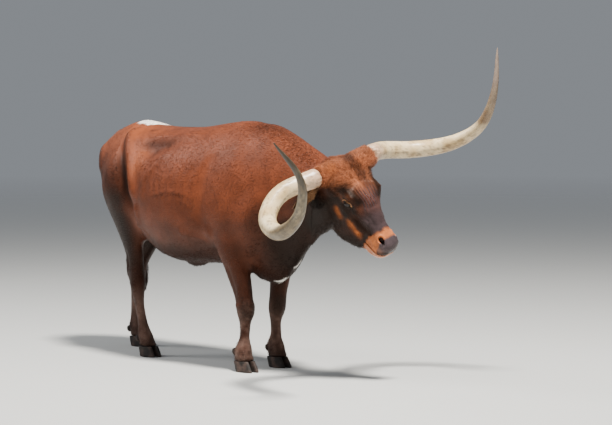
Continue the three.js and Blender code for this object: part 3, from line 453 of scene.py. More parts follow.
eye_frames = {}
face = to_head(points)
for side, sign in SIGNS.items():
    outward = unit([0.16, 0.97 * sign, 0.10])
    down_face = np.array([0.96, -0.16 * sign, -0.20])
    level = unit(down_face - outward * (outward @ down_face))
    plumb = np.cross(level, outward) * sign
    forward = math.cos(LID_TILT) * level + math.sin(LID_TILT) * plumb
    upward = math.cos(LID_TILT) * plumb - math.sin(LID_TILT) * level
    centre = EYE * [1, sign, 1]
    eye_frames[side] = (centre, outward, forward, upward)
    local = face - centre
    out, along, up = local @ outward, local @ forward, local @ upward
    half = np.where(up > 0, LID_HIGH["above"], LID_HIGH["below"])
    almond = np.hypot(along / LID_LONG, up / half)
    near = (out > 0) & (almond < LID_AREA) & (np.linalg.norm(local, axis=1) < 0.06)
    # Points that lie near the almond's edge are drawn onto it, so that the rim is even.
    pulled = np.where((almond > 0.72) & (almond < 1.06), 1.0, almond)
    scale = pulled / np.maximum(almond, 1e-6)
    along, up = along * scale, up * scale
    flat = np.hypot(along, up)
    ball = np.sqrt(np.maximum(EYE_RADIUS ** 2 - flat ** 2, 0.00002))
    behind = ball - 0.006
    rim = ball + LID_THICK * np.exp(-(((pulled - 1.18) / 0.28) ** 2)) + 0.0005
    lid_share = 1 - rise(pulled, 1.25, LID_AREA)
    over = out * (1 - lid_share) + rim * lid_share
    depth = np.where(pulled < 0.999, behind, over)
    moved = centre + depth[:, None] * outward + along[:, None] * forward + up[:, None] * upward
    face = np.where(near[:, None], moved, face)
points = np.where((on_face > 0.5)[:, None], from_head(face), points)
put_points(skin, points)
only(skin)
bpy.ops.object.shade_smooth()

# Colour: a deep mahogany coat, darker below and on the legs, brighter round the poll, with painted light on
# the cheeks.
# The same markings, painted light and shade among them, dye the hide and every tuft, so both are worked out
# by one function.
def paint(red, green, blue):
    """A colour as seen, 0 to 255, as the light that a surface sends back."""
    c = np.array([red, green, blue]) / 255
    return np.where(c < 0.04045, c / 12.92, ((c + 0.055) / 1.055) ** 2.4)


MAHOGANY = paint(104, 52, 31)
# Sunlit chestnut: painted light on hide facing up over the loin and before the hook bone
SUNLIT_CHESTNUT = paint(160, 84, 46)
DEEP = paint(46, 21, 12)
SOOT = paint(13, 8, 6)
ORANGE = paint(172, 92, 40)
DUST = paint(110, 86, 76)
WHITE = paint(242, 236, 226)
POLL = paint(156, 92, 60)
# Slate: the face's dark hair, with a painted bluish sheen in it
SLATE_AND_SHEEN = paint(66, 54, 56)
PINK = paint(182, 104, 60)
NOSE_GREY = paint(58, 58, 64)
LIP_PINK = paint(188, 122, 90)
TAN = paint(168, 122, 86)
GRAIN_WAVES = 14


def mottle(points, size, seed):
    """An uneven pattern between -1 and 1, with patches of about the size given in metres."""
    draw = np.random.default_rng(seed)
    total = np.zeros(len(points))
    for _ in range(GRAIN_WAVES):
        way = unit(draw.normal(size=3))
        pace = 2 * math.pi / size * draw.uniform(0.45, 1.3)
        total += np.sin(points @ way * pace + draw.uniform(0, 2 * math.pi))
    return np.clip(total / math.sqrt(GRAIN_WAVES), -1.6, 1.6) / 1.6


def dye(colours, colour, share):
    """Colours drawn towards one colour by each place's share."""
    return colours + (colour - colours) * np.clip(share, 0, 1)[:, None]


def band(value, low, high, soft):
    """1 between low and high, with soft ends."""
    return rise(value, low - soft, low + soft) * (1 - rise(value, high - soft, high + soft))


# Painted shade along the furrow behind the hook bone's edge
FURROW_SHADE = [(-1.150, 1.31), (-1.092, 1.23), (-1.035, 1.133), (-0.985, 1.02), (-0.945, 0.92), (-0.92, 0.80)]
# Painted light on the face of the flank in front of the hook bone's edge
PAINTED_FLANK_LIGHT = ((-0.88, 1.20), (0.09, 0.11))
# The hollow before the hook bone, in painted shade: places in the side view, their reach each way and their
# share
HOLLOW_SHADE_SPOTS = [
    ((-0.82, 1.290), (0.085, 0.034), 1.0),
    ((-0.66, 1.292), (0.100, 0.030), 1.0),
    ((-0.74, 1.238), (0.060, 0.045), 0.8),
]


def trunk_marks(colours, body, normals, coarse):
    """Painted light on the top of the loin and before the hook bone; painted shade in the hollow and furrow
    by the hook bone, along the flank vein, on the belly and on the chest; darker below and on the quarters.
    """
    x, y, z = body.T
    side_view = body[:, [0, 2]]
    # Painted light: the hide that faces up over the loin and rump is lightened.
    colours = dye(colours, SUNLIT_CHESTNUT, 0.35 * rise(normals[:, 2], 0.1, 0.9) * rise(-x, 0.6, 1.2))
    colours = dye(colours, DEEP, 0.70 * (1 - rise(z + 0.05 * coarse, 0.62, 0.98)))
    colours = dye(colours, DEEP, 0.45 * rise(z, 1.30, 1.42) * band(x, 0.02, 0.78, 0.1))
    # Painted shadow of the head on the chest and the underside of the neck.
    chest = rise(x, 0.12, 0.36) * (1 - rise(z + 0.06 * coarse, 0.84, 1.12))
    colours = dye(colours, SOOT, 0.92 * chest)
    # Painted shade on the underside of the belly, which faces down.
    belly = rise(-normals[:, 2], 0.35, 0.8) * (1 - rise(z, 0.55, 0.9))
    colours = dye(colours, SOOT, 0.70 * belly)
    # Painted shade in the furrow behind the hook bone's edge.
    colours = dye(colours, SOOT, 0.92 * fold(side_view, FURROW_SHADE, 0.058, 0.4))
    # Painted light in front of the hook bone's edge.
    colours = dye(colours, SUNLIT_CHESTNUT, 0.55 * spot(side_view, *PAINTED_FLANK_LIGHT) * rise(np.abs(y), 0.1, 0.2))
    # Painted shade in the hollow before the hook bone.
    hollow = sum(share * spot(side_view, at, reach) for at, reach, share in HOLLOW_SHADE_SPOTS)
    colours = dye(colours, DEEP, 0.66 * hollow)
    # Painted shade along the flank's raised vein.
    colours = dye(colours, DEEP, 0.50 * fold(side_view, FLANK_VEIN, 0.008, 0.4))
    quarter = rise(-x, 0.96, 1.08)
    colours = dye(colours, DEEP, 0.80 * quarter * (1 - rise(z + 0.05 * coarse, 1.00, 1.32)))
    colours = dye(colours, SOOT, 0.80 * quarter * (1 - rise(z + 0.05 * coarse, 0.86, 1.10)))
    return dye(colours, DEEP, 0.75 * rise(-x, 1.32, 1.46) * (1 - rise(z, 1.10, 1.34)))


def leg_marks(colours, body, normals, coarse, fine):
    """Painted shade inside the legs, darker down them, and dusty from the knees and hocks to the hooves."""
    x, y, z = body.T
    outer = normals[:, 1] * np.sign(y)
    forward = normals[:, 0]
    lower = 1 - rise(z + 0.03 * coarse, 0.26, 0.48)
    # Painted shade on the insides of the legs below the body, where they face each other.
    colours = dye(colours, SOOT, 0.75 * (1 - rise(z, 0.5, 0.72)) * rise(-outer, -0.2, 0.4))
    colours = dye(colours, DEEP, 0.65 * (1 - rise(z, 0.42, 0.70)))
    colours = dye(colours, DUST, (0.40 + 0.30 * fine + 0.15 * coarse) * lower)
    knee = band(z, 0.30, 0.42, 0.04) * rise(forward, 0.0, 0.6) * rise(x, -0.3, 0.0)
    colours = dye(colours, SOOT, 0.60 * knee)
    hind_shank = rise(forward, 0.0, 0.7) * band(z, 0.10, 0.36, 0.06) * rise(-x, 0.0, 0.3)
    colours = dye(colours, DUST, 0.55 * hind_shank)
    return dye(colours, SOOT, 0.45 * (1 - rise(z, 0.06, 0.15)))


RUMP_PATCH_HALF = 0.105
RUMP_PATCH_MIDDLE = (-1.09, 0.025)
RUMP_PATCH_ENDS = (-1.22, -0.97)
BRISKET_PATCHES = [
    ((0.215, 0.0, 0.535), (0.080, 0.035, 0.030)),
    ((0.345, 0.03, 0.640), (0.03, 0.04, 0.05)),
]


def white_marks(colours, body, coarse, fine):
    """White over the tail head and loin, with a ragged edge, and on the fold of the brisket."""
    x, y, z = body.T
    middle_x, middle_y = RUMP_PATCH_MIDDLE
    patch = RUMP_PATCH_HALF - np.abs(y - middle_y) - 0.06 * rise(np.abs(x - middle_x), 0.04, 0.12)
    patch = patch + 0.020 * coarse + 0.012 * fine
    patch = rise(patch, 0.0, 0.012) * rise(z, 1.25, 1.30)
    colours = dye(colours, WHITE, patch * band(x, *RUMP_PATCH_ENDS, 0.015))
    brisket = sum(spot(body, at, reach) for at, reach in BRISKET_PATCHES)
    return dye(colours, WHITE, rise(brisket + 0.25 * fine, 0.55, 0.72))


POLL_STREAK_Y = 0.030
WRINKLE_PITCH = 0.0195
TEMPLE = ((0.120, 0.122, -0.030), (0.045, 0.030, 0.045))
EYE_PATCH = [(0.100, 0.126, -0.015), (0.165, 0.100, 0.014), (0.225, 0.088, 0.010), (0.275, 0.078, -0.012)]
UNDER_EYE = ((0.250, 0.105, -0.065), (0.050, 0.04, 0.030))
HIGH_STREAK = [(0.148, 0.119, -0.130), (0.195, 0.113, -0.160), (0.250, 0.100, -0.182)]
LOW_STREAK = [(0.240, 0.101, -0.140), (0.300, 0.088, -0.155), (0.375, 0.072, -0.165), (0.395, 0.068, -0.160)]
# Each painted sunlit streak on the shaded cheek: its share, its line and its half width
SUNLIT_CHEEK_STREAKS = [
    (0.50, HIGH_STREAK, 0.015),
    (0.72, LOW_STREAK, 0.020),
]


def head_marks(colours, head, on_head, coarse, fine):
    """Painted shade on the face's sides, throat and brow grooves, a red poll with a dark streak, a slate
    bridge with a painted sheen and painted sunlit streaks on the cheeks.
    """
    hx, hy, hz = head.T
    mirrored = both_sides(head)
    across = mirrored[:, 1]
    # Painted shade on the sides of the face below the brow and on the throat under the jaw.
    side = rise(across, 0.070, 0.105) * (1 - rise(hz, -0.07, -0.01))
    colours = dye(colours, DEEP, on_head * 0.92 * side)
    colours = dye(colours, SOOT, on_head * 0.80 * side * rise(hx, 0.05, 0.12))
    throat = rise(-hz, 0.12, 0.22) * rise(across, 0.05, 0.1) * (1 - rise(hx, 0.1, 0.2))
    colours = dye(colours, SOOT, on_head * 0.70 * throat)
    poll = on_head * (1 - rise(hx, 0.15, 0.24)) * rise(hz, -0.09, -0.04)
    colours = dye(colours, POLL, 0.80 * poll)
    colours = dye(colours, ORANGE, 0.30 * poll * rise(coarse, 0.0, 0.5))
    off_streak = np.abs(hy - POLL_STREAK_Y + 0.01 * fine)
    colours = dye(colours, DEEP, 0.75 * poll * (1 - rise(off_streak, 0.012, 0.046)) * rise(hx, -0.09, -0.02))
    brow = on_head * band(hx, 0.17, 0.30, 0.03) * rise(hz, -0.05, -0.01)
    # Painted shade in the grooves between the brow's wrinkles, where the slate is strongest.
    groove_shade = 0.5 + 0.5 * np.cos((across - 0.012) * (2 * math.pi / WRINKLE_PITCH) + math.pi + 1.2 * coarse)
    colours = dye(colours, SLATE_AND_SHEEN, (0.35 + 0.55 * groove_shade) * brow * (1 - rise(across, 0.055, 0.085)))
    # The bridge takes the dark slate hair with its painted sheen.
    bridge = on_head * rise(hx, 0.26, 0.34) * (1 - rise(hx, 0.42, 0.445)) * rise(hz, -0.10, -0.05)
    colours = dye(colours, SLATE_AND_SHEEN, 0.80 * bridge)
    colours = dye(colours, SOOT, on_head * 0.90 * spot(mirrored, *TEMPLE))
    colours = dye(colours, SOOT, on_head * 0.96 * fold(mirrored, EYE_PATCH, 0.052, 0.2))
    colours = dye(colours, SOOT, on_head * 0.80 * spot(mirrored, *UNDER_EYE))
    # Painted light: orange sunlit streaks on the shaded cheek.
    for share, line, width in SUNLIT_CHEEK_STREAKS:
        colours = dye(colours, ORANGE, on_head * (share + 0.2 * fine) * fold(mirrored, line, width, 0.3))
    return colours


MUZZLE_EDGE = 0.418
NOSE_EDGE_AT = 0.478
LIP_GLOW = ((0.495, 0.060, -0.105), (0.022, 0.02, 0.016))


def muzzle_marks(colours, head, on_head, speckle, fine):
    """A pale ring round the nostrils, a grey nose between them with painted shade under it, a pink lower lip
    with painted shade under the chin, and a dark mouth line.
    """
    hx, _, hz = head.T
    lip = off_mouth(head)
    ring = on_head * rise(hx - 0.16 * np.abs(hz + 0.12) + 0.006 * fine, MUZZLE_EDGE - 0.018, MUZZLE_EDGE)
    colours = dye(colours, PINK, (0.86 + 0.12 * speckle) * ring)
    nose_from = hx - 0.45 * np.maximum(0, -0.06 - hz) + 0.004 * fine
    nose = ring * rise(nose_from, NOSE_EDGE_AT - 0.016, NOSE_EDGE_AT)
    colours = dye(colours, NOSE_GREY, 0.94 * nose * rise(lip, 0.004, 0.012))
    # Painted shade on the front of the muzzle below the nostrils.
    colours = dye(colours, SOOT, 0.80 * nose * (1 - rise(lip + 0.006 * fine, 0.018, 0.036)))
    colours = dye(colours, LIP_PINK, 0.40 * nose * spot(both_sides(head), *LIP_GLOW))
    under = on_head * rise(hx + 0.006 * fine, 0.412, 0.430) * (1 - rise(lip, -0.008, -0.003))
    colours = dye(colours, LIP_PINK, 0.85 * under)
    # Painted shade under the chin.
    colours = dye(colours, SOOT, 0.7 * under * rise(-lip, 0.045, 0.065))
    mouth_line = rise(hx, 0.40, 0.42) * (1 - rise(np.abs(lip), 0.002, 0.005))
    return dye(colours, SOOT, 0.85 * on_head * mouth_line)


def lid_marks(colours, head):
    """Dark skin round each eye, with a pale arc on the upper lid and a black rim."""
    for centre, outward, forward, upward in eye_frames.values():
        local = head - centre
        almond = np.hypot((local @ forward) / LID_LONG, (local @ upward) / LID_HIGH["above"])
        near = rise(local @ outward, -0.004, 0.004) * (np.linalg.norm(local, axis=1) < 0.06)
        colours = dye(colours, SOOT, near * 0.9 * (1 - rise(almond, 1.9, 2.6)))
        arc = band(almond, 1.22, 1.50, 0.10) * rise(local @ upward, -0.002, 0.006)
        colours = dye(colours, TAN, near * 0.90 * arc)
        colours = dye(colours, SOOT, near * (1 - rise(almond, 1.02, 1.12)))
    return colours


EAR_ROOTS = {"left": [0.036, 0.100, -0.148], "right": [0.036, -0.100, -0.156]}
EAR_WAYS = {"left": unit([-0.16, 0.78, -0.60]), "right": unit([-0.10, -0.80, -0.58])}
EAR_FACES = {"left": unit([0.85, 0.1, 0.5]) @ HEAD_AXES, "right": unit([0.85, -0.1, 0.5]) @ HEAD_AXES}


def on_ear(head, side, off_root, off_middle=(0.10, 0.12), reach=0.085):
    """1 on one ear, from its root outwards, within a reach of the ear's own line."""
    local = head - EAR_ROOTS[side]
    way = EAR_WAYS[side]
    close = np.linalg.norm(np.cross(local, way), axis=1) < reach
    return rise(local @ way, *off_root) * close * rise(SIGNS[side] * head[:, 1], *off_middle)


def ear_marks(colours, head, normals):
    """Ears dark outside, with tan hair in the cup."""
    for side in SIGNS:
        ear = on_ear(head, side, (0.015, 0.05))
        colours = dye(colours, SOOT, 0.75 * ear)
        cup = ear * rise(normals @ EAR_FACES[side], 0.25, 0.6)
        colours = dye(colours, TAN, 0.55 * cup)
    return colours


def markings(points, normals):
    """The coat's colour, painted light and shade with it, at places on the hide, from the trunk outwards to
    the ears.
    """
    body = points - HOME
    head = to_head(points)
    coarse = mottle(points, 0.16, 1)
    fine = mottle(points, 0.035, 2)
    on_head = rise(head[:, 0], -0.13, -0.07) * rise(body[:, 0], 0.50, 0.58)
    colours = np.tile(MAHOGANY, (len(points), 1))
    colours = trunk_marks(colours, body, normals, coarse)
    colours = leg_marks(colours, body, normals, coarse, fine)
    colours = white_marks(colours, body, coarse, fine)
    colours = head_marks(colours, head, on_head, coarse, fine)
    colours = muzzle_marks(colours, head, on_head, mottle(points, 0.012, 3), fine)
    colours = lid_marks(colours, head)
    colours = ear_marks(colours, head, normals)
    return np.clip(colours * (1 + 0.10 * coarse + 0.07 * fine)[:, None], 0.002, 1)


def bareness(points):
    """1 on the hairless skin of the muzzle and 0 on the coat."""
    head = to_head(points)
    on_head = rise(head[:, 0], 0.30, 0.34) * rise(points[:, 0] - HOME[0], 0.50, 0.58)
    return on_head * rise(head[:, 0] - 0.16 * np.abs(head[:, 2] + 0.12), 0.404, 0.422)


def give_colours(obj, colours, hair=1.0):
    """Keeps colours on a mesh, with alpha 1 where hair grows and 0 on bare skin."""
    layer = obj.data.color_attributes.new("tone", "FLOAT_COLOR", "POINT")
    flat = np.ones((len(colours), 4), dtype=np.float32)
    flat[:, :3] = colours
    flat[:, 3] = hair
    layer.data.foreach_set("color", flat.ravel())


skin_normals = read(skin, "normal")
# The nostrils' insides are painted near black: their dark skin, with painted shade in the hollows.
hide_colours = dye(markings(read(skin), skin_normals), paint(12, 8, 8), nostril_shade)
give_colours(skin, hide_colours, 1 - bareness(read(skin)))


# Hide and hair finish: short glossy hair, its grain running back along the body and down the legs.
# Fine streaks lie along the coat and shallow creases break the sheen.
def finish(name):
    """A new material with its shader, and a function that adds a node to it."""
    material = bpy.data.materials.new(name)
    material.use_nodes = True
    tree = material.node_tree
    shader = tree.nodes["Principled BSDF"]

    def add(kind, inputs=(), **settings):
        node = tree.nodes.new("ShaderNode" + kind)
        for key, value in settings.items():
            setattr(node, key, value)
        for key, value in dict(inputs).items():
            if isinstance(value, bpy.types.NodeSocket):
                tree.links.new(value, node.inputs[key])
            else:
                node.inputs[key].default_value = value
        return node

    return material, shader, add


def join(material, output, socket):
    material.node_tree.links.new(output, socket)


def grain_group():
    """The grain of hide, hair, horn and hoof: a noise that darkens and lightens a colour."""
    tree = bpy.data.node_groups.new("grain", "ShaderNodeTree")
    tree.interface.new_socket(name="Color", in_out="INPUT", socket_type="NodeSocketColor")
    tree.interface.new_socket(name="Vector", in_out="INPUT", socket_type="NodeSocketVector")
    for name in ("Scale", "Detail", "Roughness", "Darkest", "Lightest"):
        tree.interface.new_socket(name=name, in_out="INPUT", socket_type="NodeSocketFloat")
    tree.interface.new_socket(name="Color", in_out="OUTPUT", socket_type="NodeSocketColor")
    tree.interface.new_socket(name="Height", in_out="OUTPUT", socket_type="NodeSocketFloat")
    given = tree.nodes.new("NodeGroupInput").outputs
    result = tree.nodes.new("NodeGroupOutput").inputs
    noise = tree.nodes.new("ShaderNodeTexNoise")
    light = tree.nodes.new("ShaderNodeMapRange")
    light.inputs["From Min"].default_value = 0.3
    light.inputs["From Max"].default_value = 0.7
    shade = tree.nodes.new("ShaderNodeVectorMath")
    shade.operation = "SCALE"
    for name in ("Vector", "Scale", "Detail", "Roughness"):
        tree.links.new(given[name], noise.inputs[name])
    tree.links.new(noise.outputs["Fac"], light.inputs["Value"])
    tree.links.new(given["Darkest"], light.inputs["To Min"])
    tree.links.new(given["Lightest"], light.inputs["To Max"])
    tree.links.new(given["Color"], shade.inputs[0])
    tree.links.new(light.outputs["Result"], shade.inputs["Scale"])
    tree.links.new(shade.outputs["Vector"], result["Color"])
    tree.links.new(noise.outputs["Fac"], result["Height"])
    return tree


GRAIN = grain_group()


def grain(add, colour, vector, scale, detail, roughness, shades):
    """The grain placed in a material, between its darkest and lightest shade of a colour."""
    inputs = {"Color": colour, "Vector": vector, "Scale": scale, "Detail": detail, "Roughness": roughness}
    inputs["Darkest"], inputs["Lightest"] = shades
    return add("Group", inputs, node_tree=GRAIN)


DAMP_ROUGH = 0.26
PEBBLE_SCALE = 240.0


def fur_finish(name, roughness, streak, bump_high, creases):
    """Glossy hair with streaks along it, and damp pebbled skin where no hair grows."""
    material, shader, add = finish(name)
    tone = add("Attribute", attribute_name="tone")
    where = add("TexCoord").outputs["Object"]
    along = add("Mapping", {"Vector": where, "Scale": streak}).outputs["Vector"]
    strands = grain(add, tone.outputs["Color"], along, 1.0, 4.0, 0.65, (0.68, 1.32))
    dapple = grain(add, strands.outputs["Color"], where, 14.0, 3.0, 0.5, (0.86, 1.14))
    join(material, dapple.outputs["Color"], shader.inputs["Base Color"])
    height = strands.outputs["Height"]
    if creases:
        wave = add("TexNoise", {"Vector": where, "Scale": 22.0, "Detail": 2.0, "Roughness": 0.4})
        low_wave = add("Math", {0: wave.outputs["Fac"], 1: 0.45}, operation="MULTIPLY")
        height = add("Math", {0: height, 1: low_wave.outputs["Value"]}, operation="ADD").outputs["Value"]
    # Bare skin, where the attribute's alpha is 0, is damp and pebbled.
    pebbles = add("TexVoronoi", {"Vector": where, "Scale": PEBBLE_SCALE})
    low = add("Math", {0: pebbles.outputs["Distance"], 1: 0.35}, operation="MULTIPLY")
    surface = add("Mix", {"Factor": tone.outputs["Alpha"], "A": low.outputs["Value"], "B": height})
    bump = add("Bump", {"Height": surface.outputs["Result"], "Strength": 0.55, "Distance": bump_high})
    join(material, bump.outputs["Normal"], shader.inputs["Normal"])
    rough = add("MapRange", {"Value": tone.outputs["Alpha"], "To Min": DAMP_ROUGH, "To Max": roughness})
    join(material, rough.outputs["Result"], shader.inputs["Roughness"])
    shader.inputs["Sheen Weight"].default_value = 0.02
    shader.inputs["Sheen Roughness"].default_value = 0.5
    shader.inputs["Sheen Tint"].default_value = (1.0, 0.75, 0.6, 1)
    shader.inputs["Specular IOR Level"].default_value = 0.15
    shader.inputs["Specular Tint"].default_value = (1.0, 0.86, 0.76, 1)
    return material


HIDE_STREAK = (120, 620, 300)
HAIR_STREAK = (60, 200, 120)
hide = fur_finish("hide", 0.46, HIDE_STREAK, 0.0011, True)
hair_finish = fur_finish("hair", 0.44, HAIR_STREAK, 0.0006, False)
skin.data.materials.clear()
skin.data.materials.append(hide)
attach(skin, "root")
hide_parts(*FLESH)

# Unwrap: the hide laid out flat for the baked pictures of its colour.
# Every tuft takes the place of its own patch of the hide from it.
UNWRAP_ANGLE = 66
edit(skin, bpy.ops.uv.smart_project, angle_limit=math.radians(UNWRAP_ANGLE), island_margin=0.0015)
skin.data.uv_layers[0].name = "OFBake"

# Roots: places spread over the hide by area, each with its normal and its place on the unwrap.
skin.data.calc_loop_triangles()
count = len(skin.data.loop_triangles)
tri_points = rows(skin.data.loop_triangles, "vertices", 3)
tri_loops = rows(skin.data.loop_triangles, "loops", 3)
unwrap = rows(skin.data.uv_layers["OFBake"].data, "uv", 2, np.float32).astype(float)
corners = read(skin)[tri_points]
tri_area = np.linalg.norm(np.cross(corners[:, 1] - corners[:, 0], corners[:, 2] - corners[:, 0]), axis=1) / 2
tri_middle = corners.mean(axis=1)
tri_normal = unit(skin_normals[tri_points].mean(axis=1))


def roots(number, weight, draw):
    """Random places on the hide, more of them where the weight is higher."""
    share = tri_area * weight
    pick = draw.choice(count, size=number, p=share / share.sum())
    a, b = draw.random((2, number))
    over = a + b > 1
    a[over], b[over] = 1 - a[over], 1 - b[over]
    mix = np.stack([1 - a - b, a, b], axis=1)[:, :, None]
    at = (corners[pick] * mix).sum(axis=1)
    normal = unit((skin_normals[tri_points[pick]] * mix).sum(axis=1))
    place = (unwrap[tri_loops[pick]] * mix).sum(axis=1)
    return at, normal, place


# Lie of the coat: back and down the trunk, down the legs and tail, and out from between the eyes.
# The short coat lies this way, and the longer hair starts this way and strays from it.
WHORL = np.array([0.17, 0.0, 0.02])


def lie_of(points, normals):
    """The way that hair at each place lies along the hide."""
    body = points - HOME
    head = to_head(points)
    x, y, z = body.T
    way = np.tile([-1.0, 0.0, -0.30], (len(points), 1))
    on_neck = rise(x, 0.15, 0.5)[:, None]
    way = way * (1 - on_neck) + np.array([-0.80, 0.0, -0.62]) * on_neck
    on_leg = (1 - rise(z, 0.45, 0.80))[:, None]
    way = way * (1 - on_leg) + np.array([-0.10, 0.0, -1.0]) * on_leg
    on_tail = (rise(-x, 1.50, 1.54) * rise(z, 0.55, 0.62))[:, None]
    way = way * (1 - on_tail) + np.array([-0.15, 0.15, -1.0]) * on_tail
    on_head = (rise(head[:, 0], -0.13, -0.05) * rise(x, 0.50, 0.58))[:, None]
    face_way = unit(head - WHORL) @ HEAD_AXES
    way = way * (1 - on_head) + face_way * on_head
    for side in SIGNS:
        ear = on_ear(head, side, (0.01, 0.05), (0.10, 0.13), np.inf)[:, None]
        way = way * (1 - ear) + (EAR_WAYS[side] @ HEAD_AXES) * ear
    way = way - normals * np.sum(way * normals, axis=1, keepdims=True)
    return unit(way)


# Tufts: the coat's hair in thin tapered blades, overlapping along the lie, each for many hairs.
# Each blade is closed, stands in the hide by its root and takes the hide's colour at that place.
PATCH = 0.003
ROOT_SUNK = 0.0008


def blades(name, paths, across, normal, width, base, place, tip_highlight, taper=1.5):
    """Joined closed blades, one along each path, three-cornered at each ring and pointed at the end."""
    number, stops = paths.shape[:2]
    rings = stops - 1
    t = (np.arange(rings) / rings)[None, :, None]
    half = width[:, None, None] / 2 * (1 - 0.85 * t ** taper)
    ring_middle = paths[:, :rings]
    corner = np.stack(
        [ring_middle - across * half, ring_middle + across * half, ring_middle + normal * half * 0.4], axis=2
    )
    verts = np.concatenate([corner.reshape(number, rings * 3, 3), paths[:, rings:]], axis=1)
    per = rings * 3 + 1
    sides = [(0, 1), (1, 2), (2, 0)]
    faces = [[0, 2, 1]]
    for low in range(0, (rings - 1) * 3, 3):
        for a, b in sides:
            faces += [[low + a, low + b, low + 3 + b], [low + a, low + 3 + b, low + 3 + a]]
    faces += [[per - 4 + a, per - 4 + b, per - 1] for a, b in sides]
    all_faces = (np.array(faces)[None] + (np.arange(number) * per)[:, None, None]).reshape(-1, 3)
    mesh = bpy.data.meshes.new(name)
    mesh.vertices.add(number * per)
    mesh.vertices.foreach_set("co", verts.astype(np.float32).ravel())
    mesh.loops.add(len(all_faces) * 3)
    mesh.loops.foreach_set("vertex_index", all_faces.astype(np.int32).ravel())
    mesh.polygons.add(len(all_faces))
    mesh.polygons.foreach_set("loop_start", np.arange(len(all_faces), dtype=np.int32) * 3)
    mesh.update(calc_edges=True)
    obj = bpy.data.objects.new(name, mesh)
    bpy.context.collection.objects.link(obj)
    # Colour runs from a root with a little painted shade to a tip lightened as a painted highlight.
    steps = np.append(np.repeat(np.arange(rings) / rings, 3), 1.0)
    light = 0.96 + (tip_highlight - 0.96) * steps
    give_colours(obj, np.clip(base[:, None] * light[None, :, None], 0.002, 1).reshape(-1, 3))
    # The unwrap holds a small patch at each root's place, with the blade's length along it.
    patch = np.stack([np.tile([0, 1, 0.5], rings), np.repeat(np.arange(rings) / rings, 3)], axis=1)
    patch = np.vstack([patch, [0.5, 1.0]]) - 0.5
    spots = (place[:, None] + patch[None] * PATCH).reshape(-1, 2)
    layer = mesh.uv_layers.new(name="OFBake")
    layer.data.foreach_set("uv", spots[all_faces.ravel()].astype(np.float32).ravel())
    mesh.materials.append(hair_finish)
    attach(obj, "root")
    return obj


def tufts(name, rooted, length, width, lift, stray, rings, seed, tip_highlight=1.30, droop=0.0, vary=0.10):
    """Short hair from roots on the hide, along the lie, lifted off it and straying a little."""
    at, normal, place = rooted
    number = len(at)
    draw = np.random.default_rng(seed)
    way = lie_of(at, normal)
    turn = draw.normal(0, stray, number)[:, None]
    way = unit(way * np.cos(turn) + np.cross(normal, way) * np.sin(turn))
    across = unit(np.cross(normal, way))
    length = (length * draw.uniform(0.7, 1.25, number))[:, None, None]
    lift = (lift * draw.uniform(0.4, 1.5, number))[:, None, None]
    t = np.linspace(0, 1, rings + 1)[None, :, None]
    out = lift * t * (1.25 - 0.5 * t) * length - ROOT_SUNK * (1 - t)
    paths = at[:, None] + way[:, None] * length * t * (1 - 0.12 * lift * t) + normal[:, None] * out
    paths = paths - np.array([0, 0, 1.0]) * droop * length * t ** 2
    clump = 1 + 1.2 * vary * mottle(at, 0.020, 11)
    base = markings(at, normal) * (clump * draw.uniform(1 - vary, 1 + vary, number))[:, None]
    widths = width * draw.uniform(0.75, 1.25, number)
    return blades(name, paths, across[:, None], normal[:, None], widths, base, place, tip_highlight)


# Where each stretch of the body lies, for spreading the tufts
mid_body = tri_middle - HOME
mid_head = to_head(tri_middle)
face_share = rise(mid_head[:, 0], -0.13, -0.07) * rise(mid_body[:, 0], 0.50, 0.58)
inside_eye = np.zeros(count)
for centre, outward, forward, upward in eye_frames.values():
    local = mid_head - centre
    almond = np.hypot(local @ forward / 0.026, local @ upward / 0.018)
    inside_eye = np.maximum(inside_eye, 1 - rise(almond, 0.95, 1.3))
furred = (1 - bareness(tri_middle)) * (1 - inside_eye)

LEG_TOP = 0.62
mid_x, mid_y, mid_z = mid_body.T
trunk_weight = furred * (1 - face_share)
# Each part of the short coat: where it grows, its number of blades and their length, width, lift and stray
SHORT_HAIR = [
    ("coat_near", trunk_weight * ((mid_y < 0) & (mid_z > LEG_TOP)), 40000, 0.020, 0.0034, 0.04, 0.14),
    ("coat_far", trunk_weight * ((mid_y >= 0) & (mid_z > LEG_TOP)), 40000, 0.020, 0.0034, 0.04, 0.14),
    ("coat_legs", trunk_weight * (mid_z <= LEG_TOP), 22000, 0.016, 0.0034, 0.04, 0.14),
    ("coat_face", furred * face_share, 40000, 0.011, 0.0022, 0.05, 0.20),
]
COAT_SEEDS = (40, 41, 42, 50)
draw = np.random.default_rng(21)
for seed, (name, weight, number, length, width, lift, stray) in zip(COAT_SEEDS, SHORT_HAIR):
    tufts(name, roots(number, weight, draw), length, width, lift, stray, 1, seed)

# Longer hair: tousled on the poll, along the crest and underline, in the ears and over the hooves.
# Each stretch has its own length, and stands off the hide as far as the animal's does.
up_facing = tri_normal[:, 2]
off_middle = np.abs(mid_y)
ear_share = np.maximum(*(on_ear(mid_head, side, (0.01, 0.04)) for side in SIGNS))
poll_share = face_share * (1 - rise(mid_head[:, 0], 0.06, 0.16))
poll_share = poll_share * rise(mid_head[:, 2], -0.11, -0.05) * (1 - ear_share)
crest_share = band(mid_x, 0.02, 0.74, 0.14) * (1 - rise(off_middle, 0.03, 0.13))
crest_share = crest_share * rise(up_facing, 0.2, 0.8) * (1 - face_share)
under_share = rise(-up_facing, 0.35, 0.75) * (mid_z > 0.45) * (off_middle < 0.20) * rise(mid_x, -0.9, -0.8)
back_of_leg = rise(-tri_normal[:, 0], 0.2, 0.7)
tail_share = rise(-mid_x, 1.50, 1.54) * rise(mid_z, 0.62, 0.66) * (off_middle < 0.3)
TAIL_MIDDLE = [-1.60, 0.10]
in_tail = np.linalg.norm(mid_body[:, :2] - TAIL_MIDDLE, axis=1) < 0.16
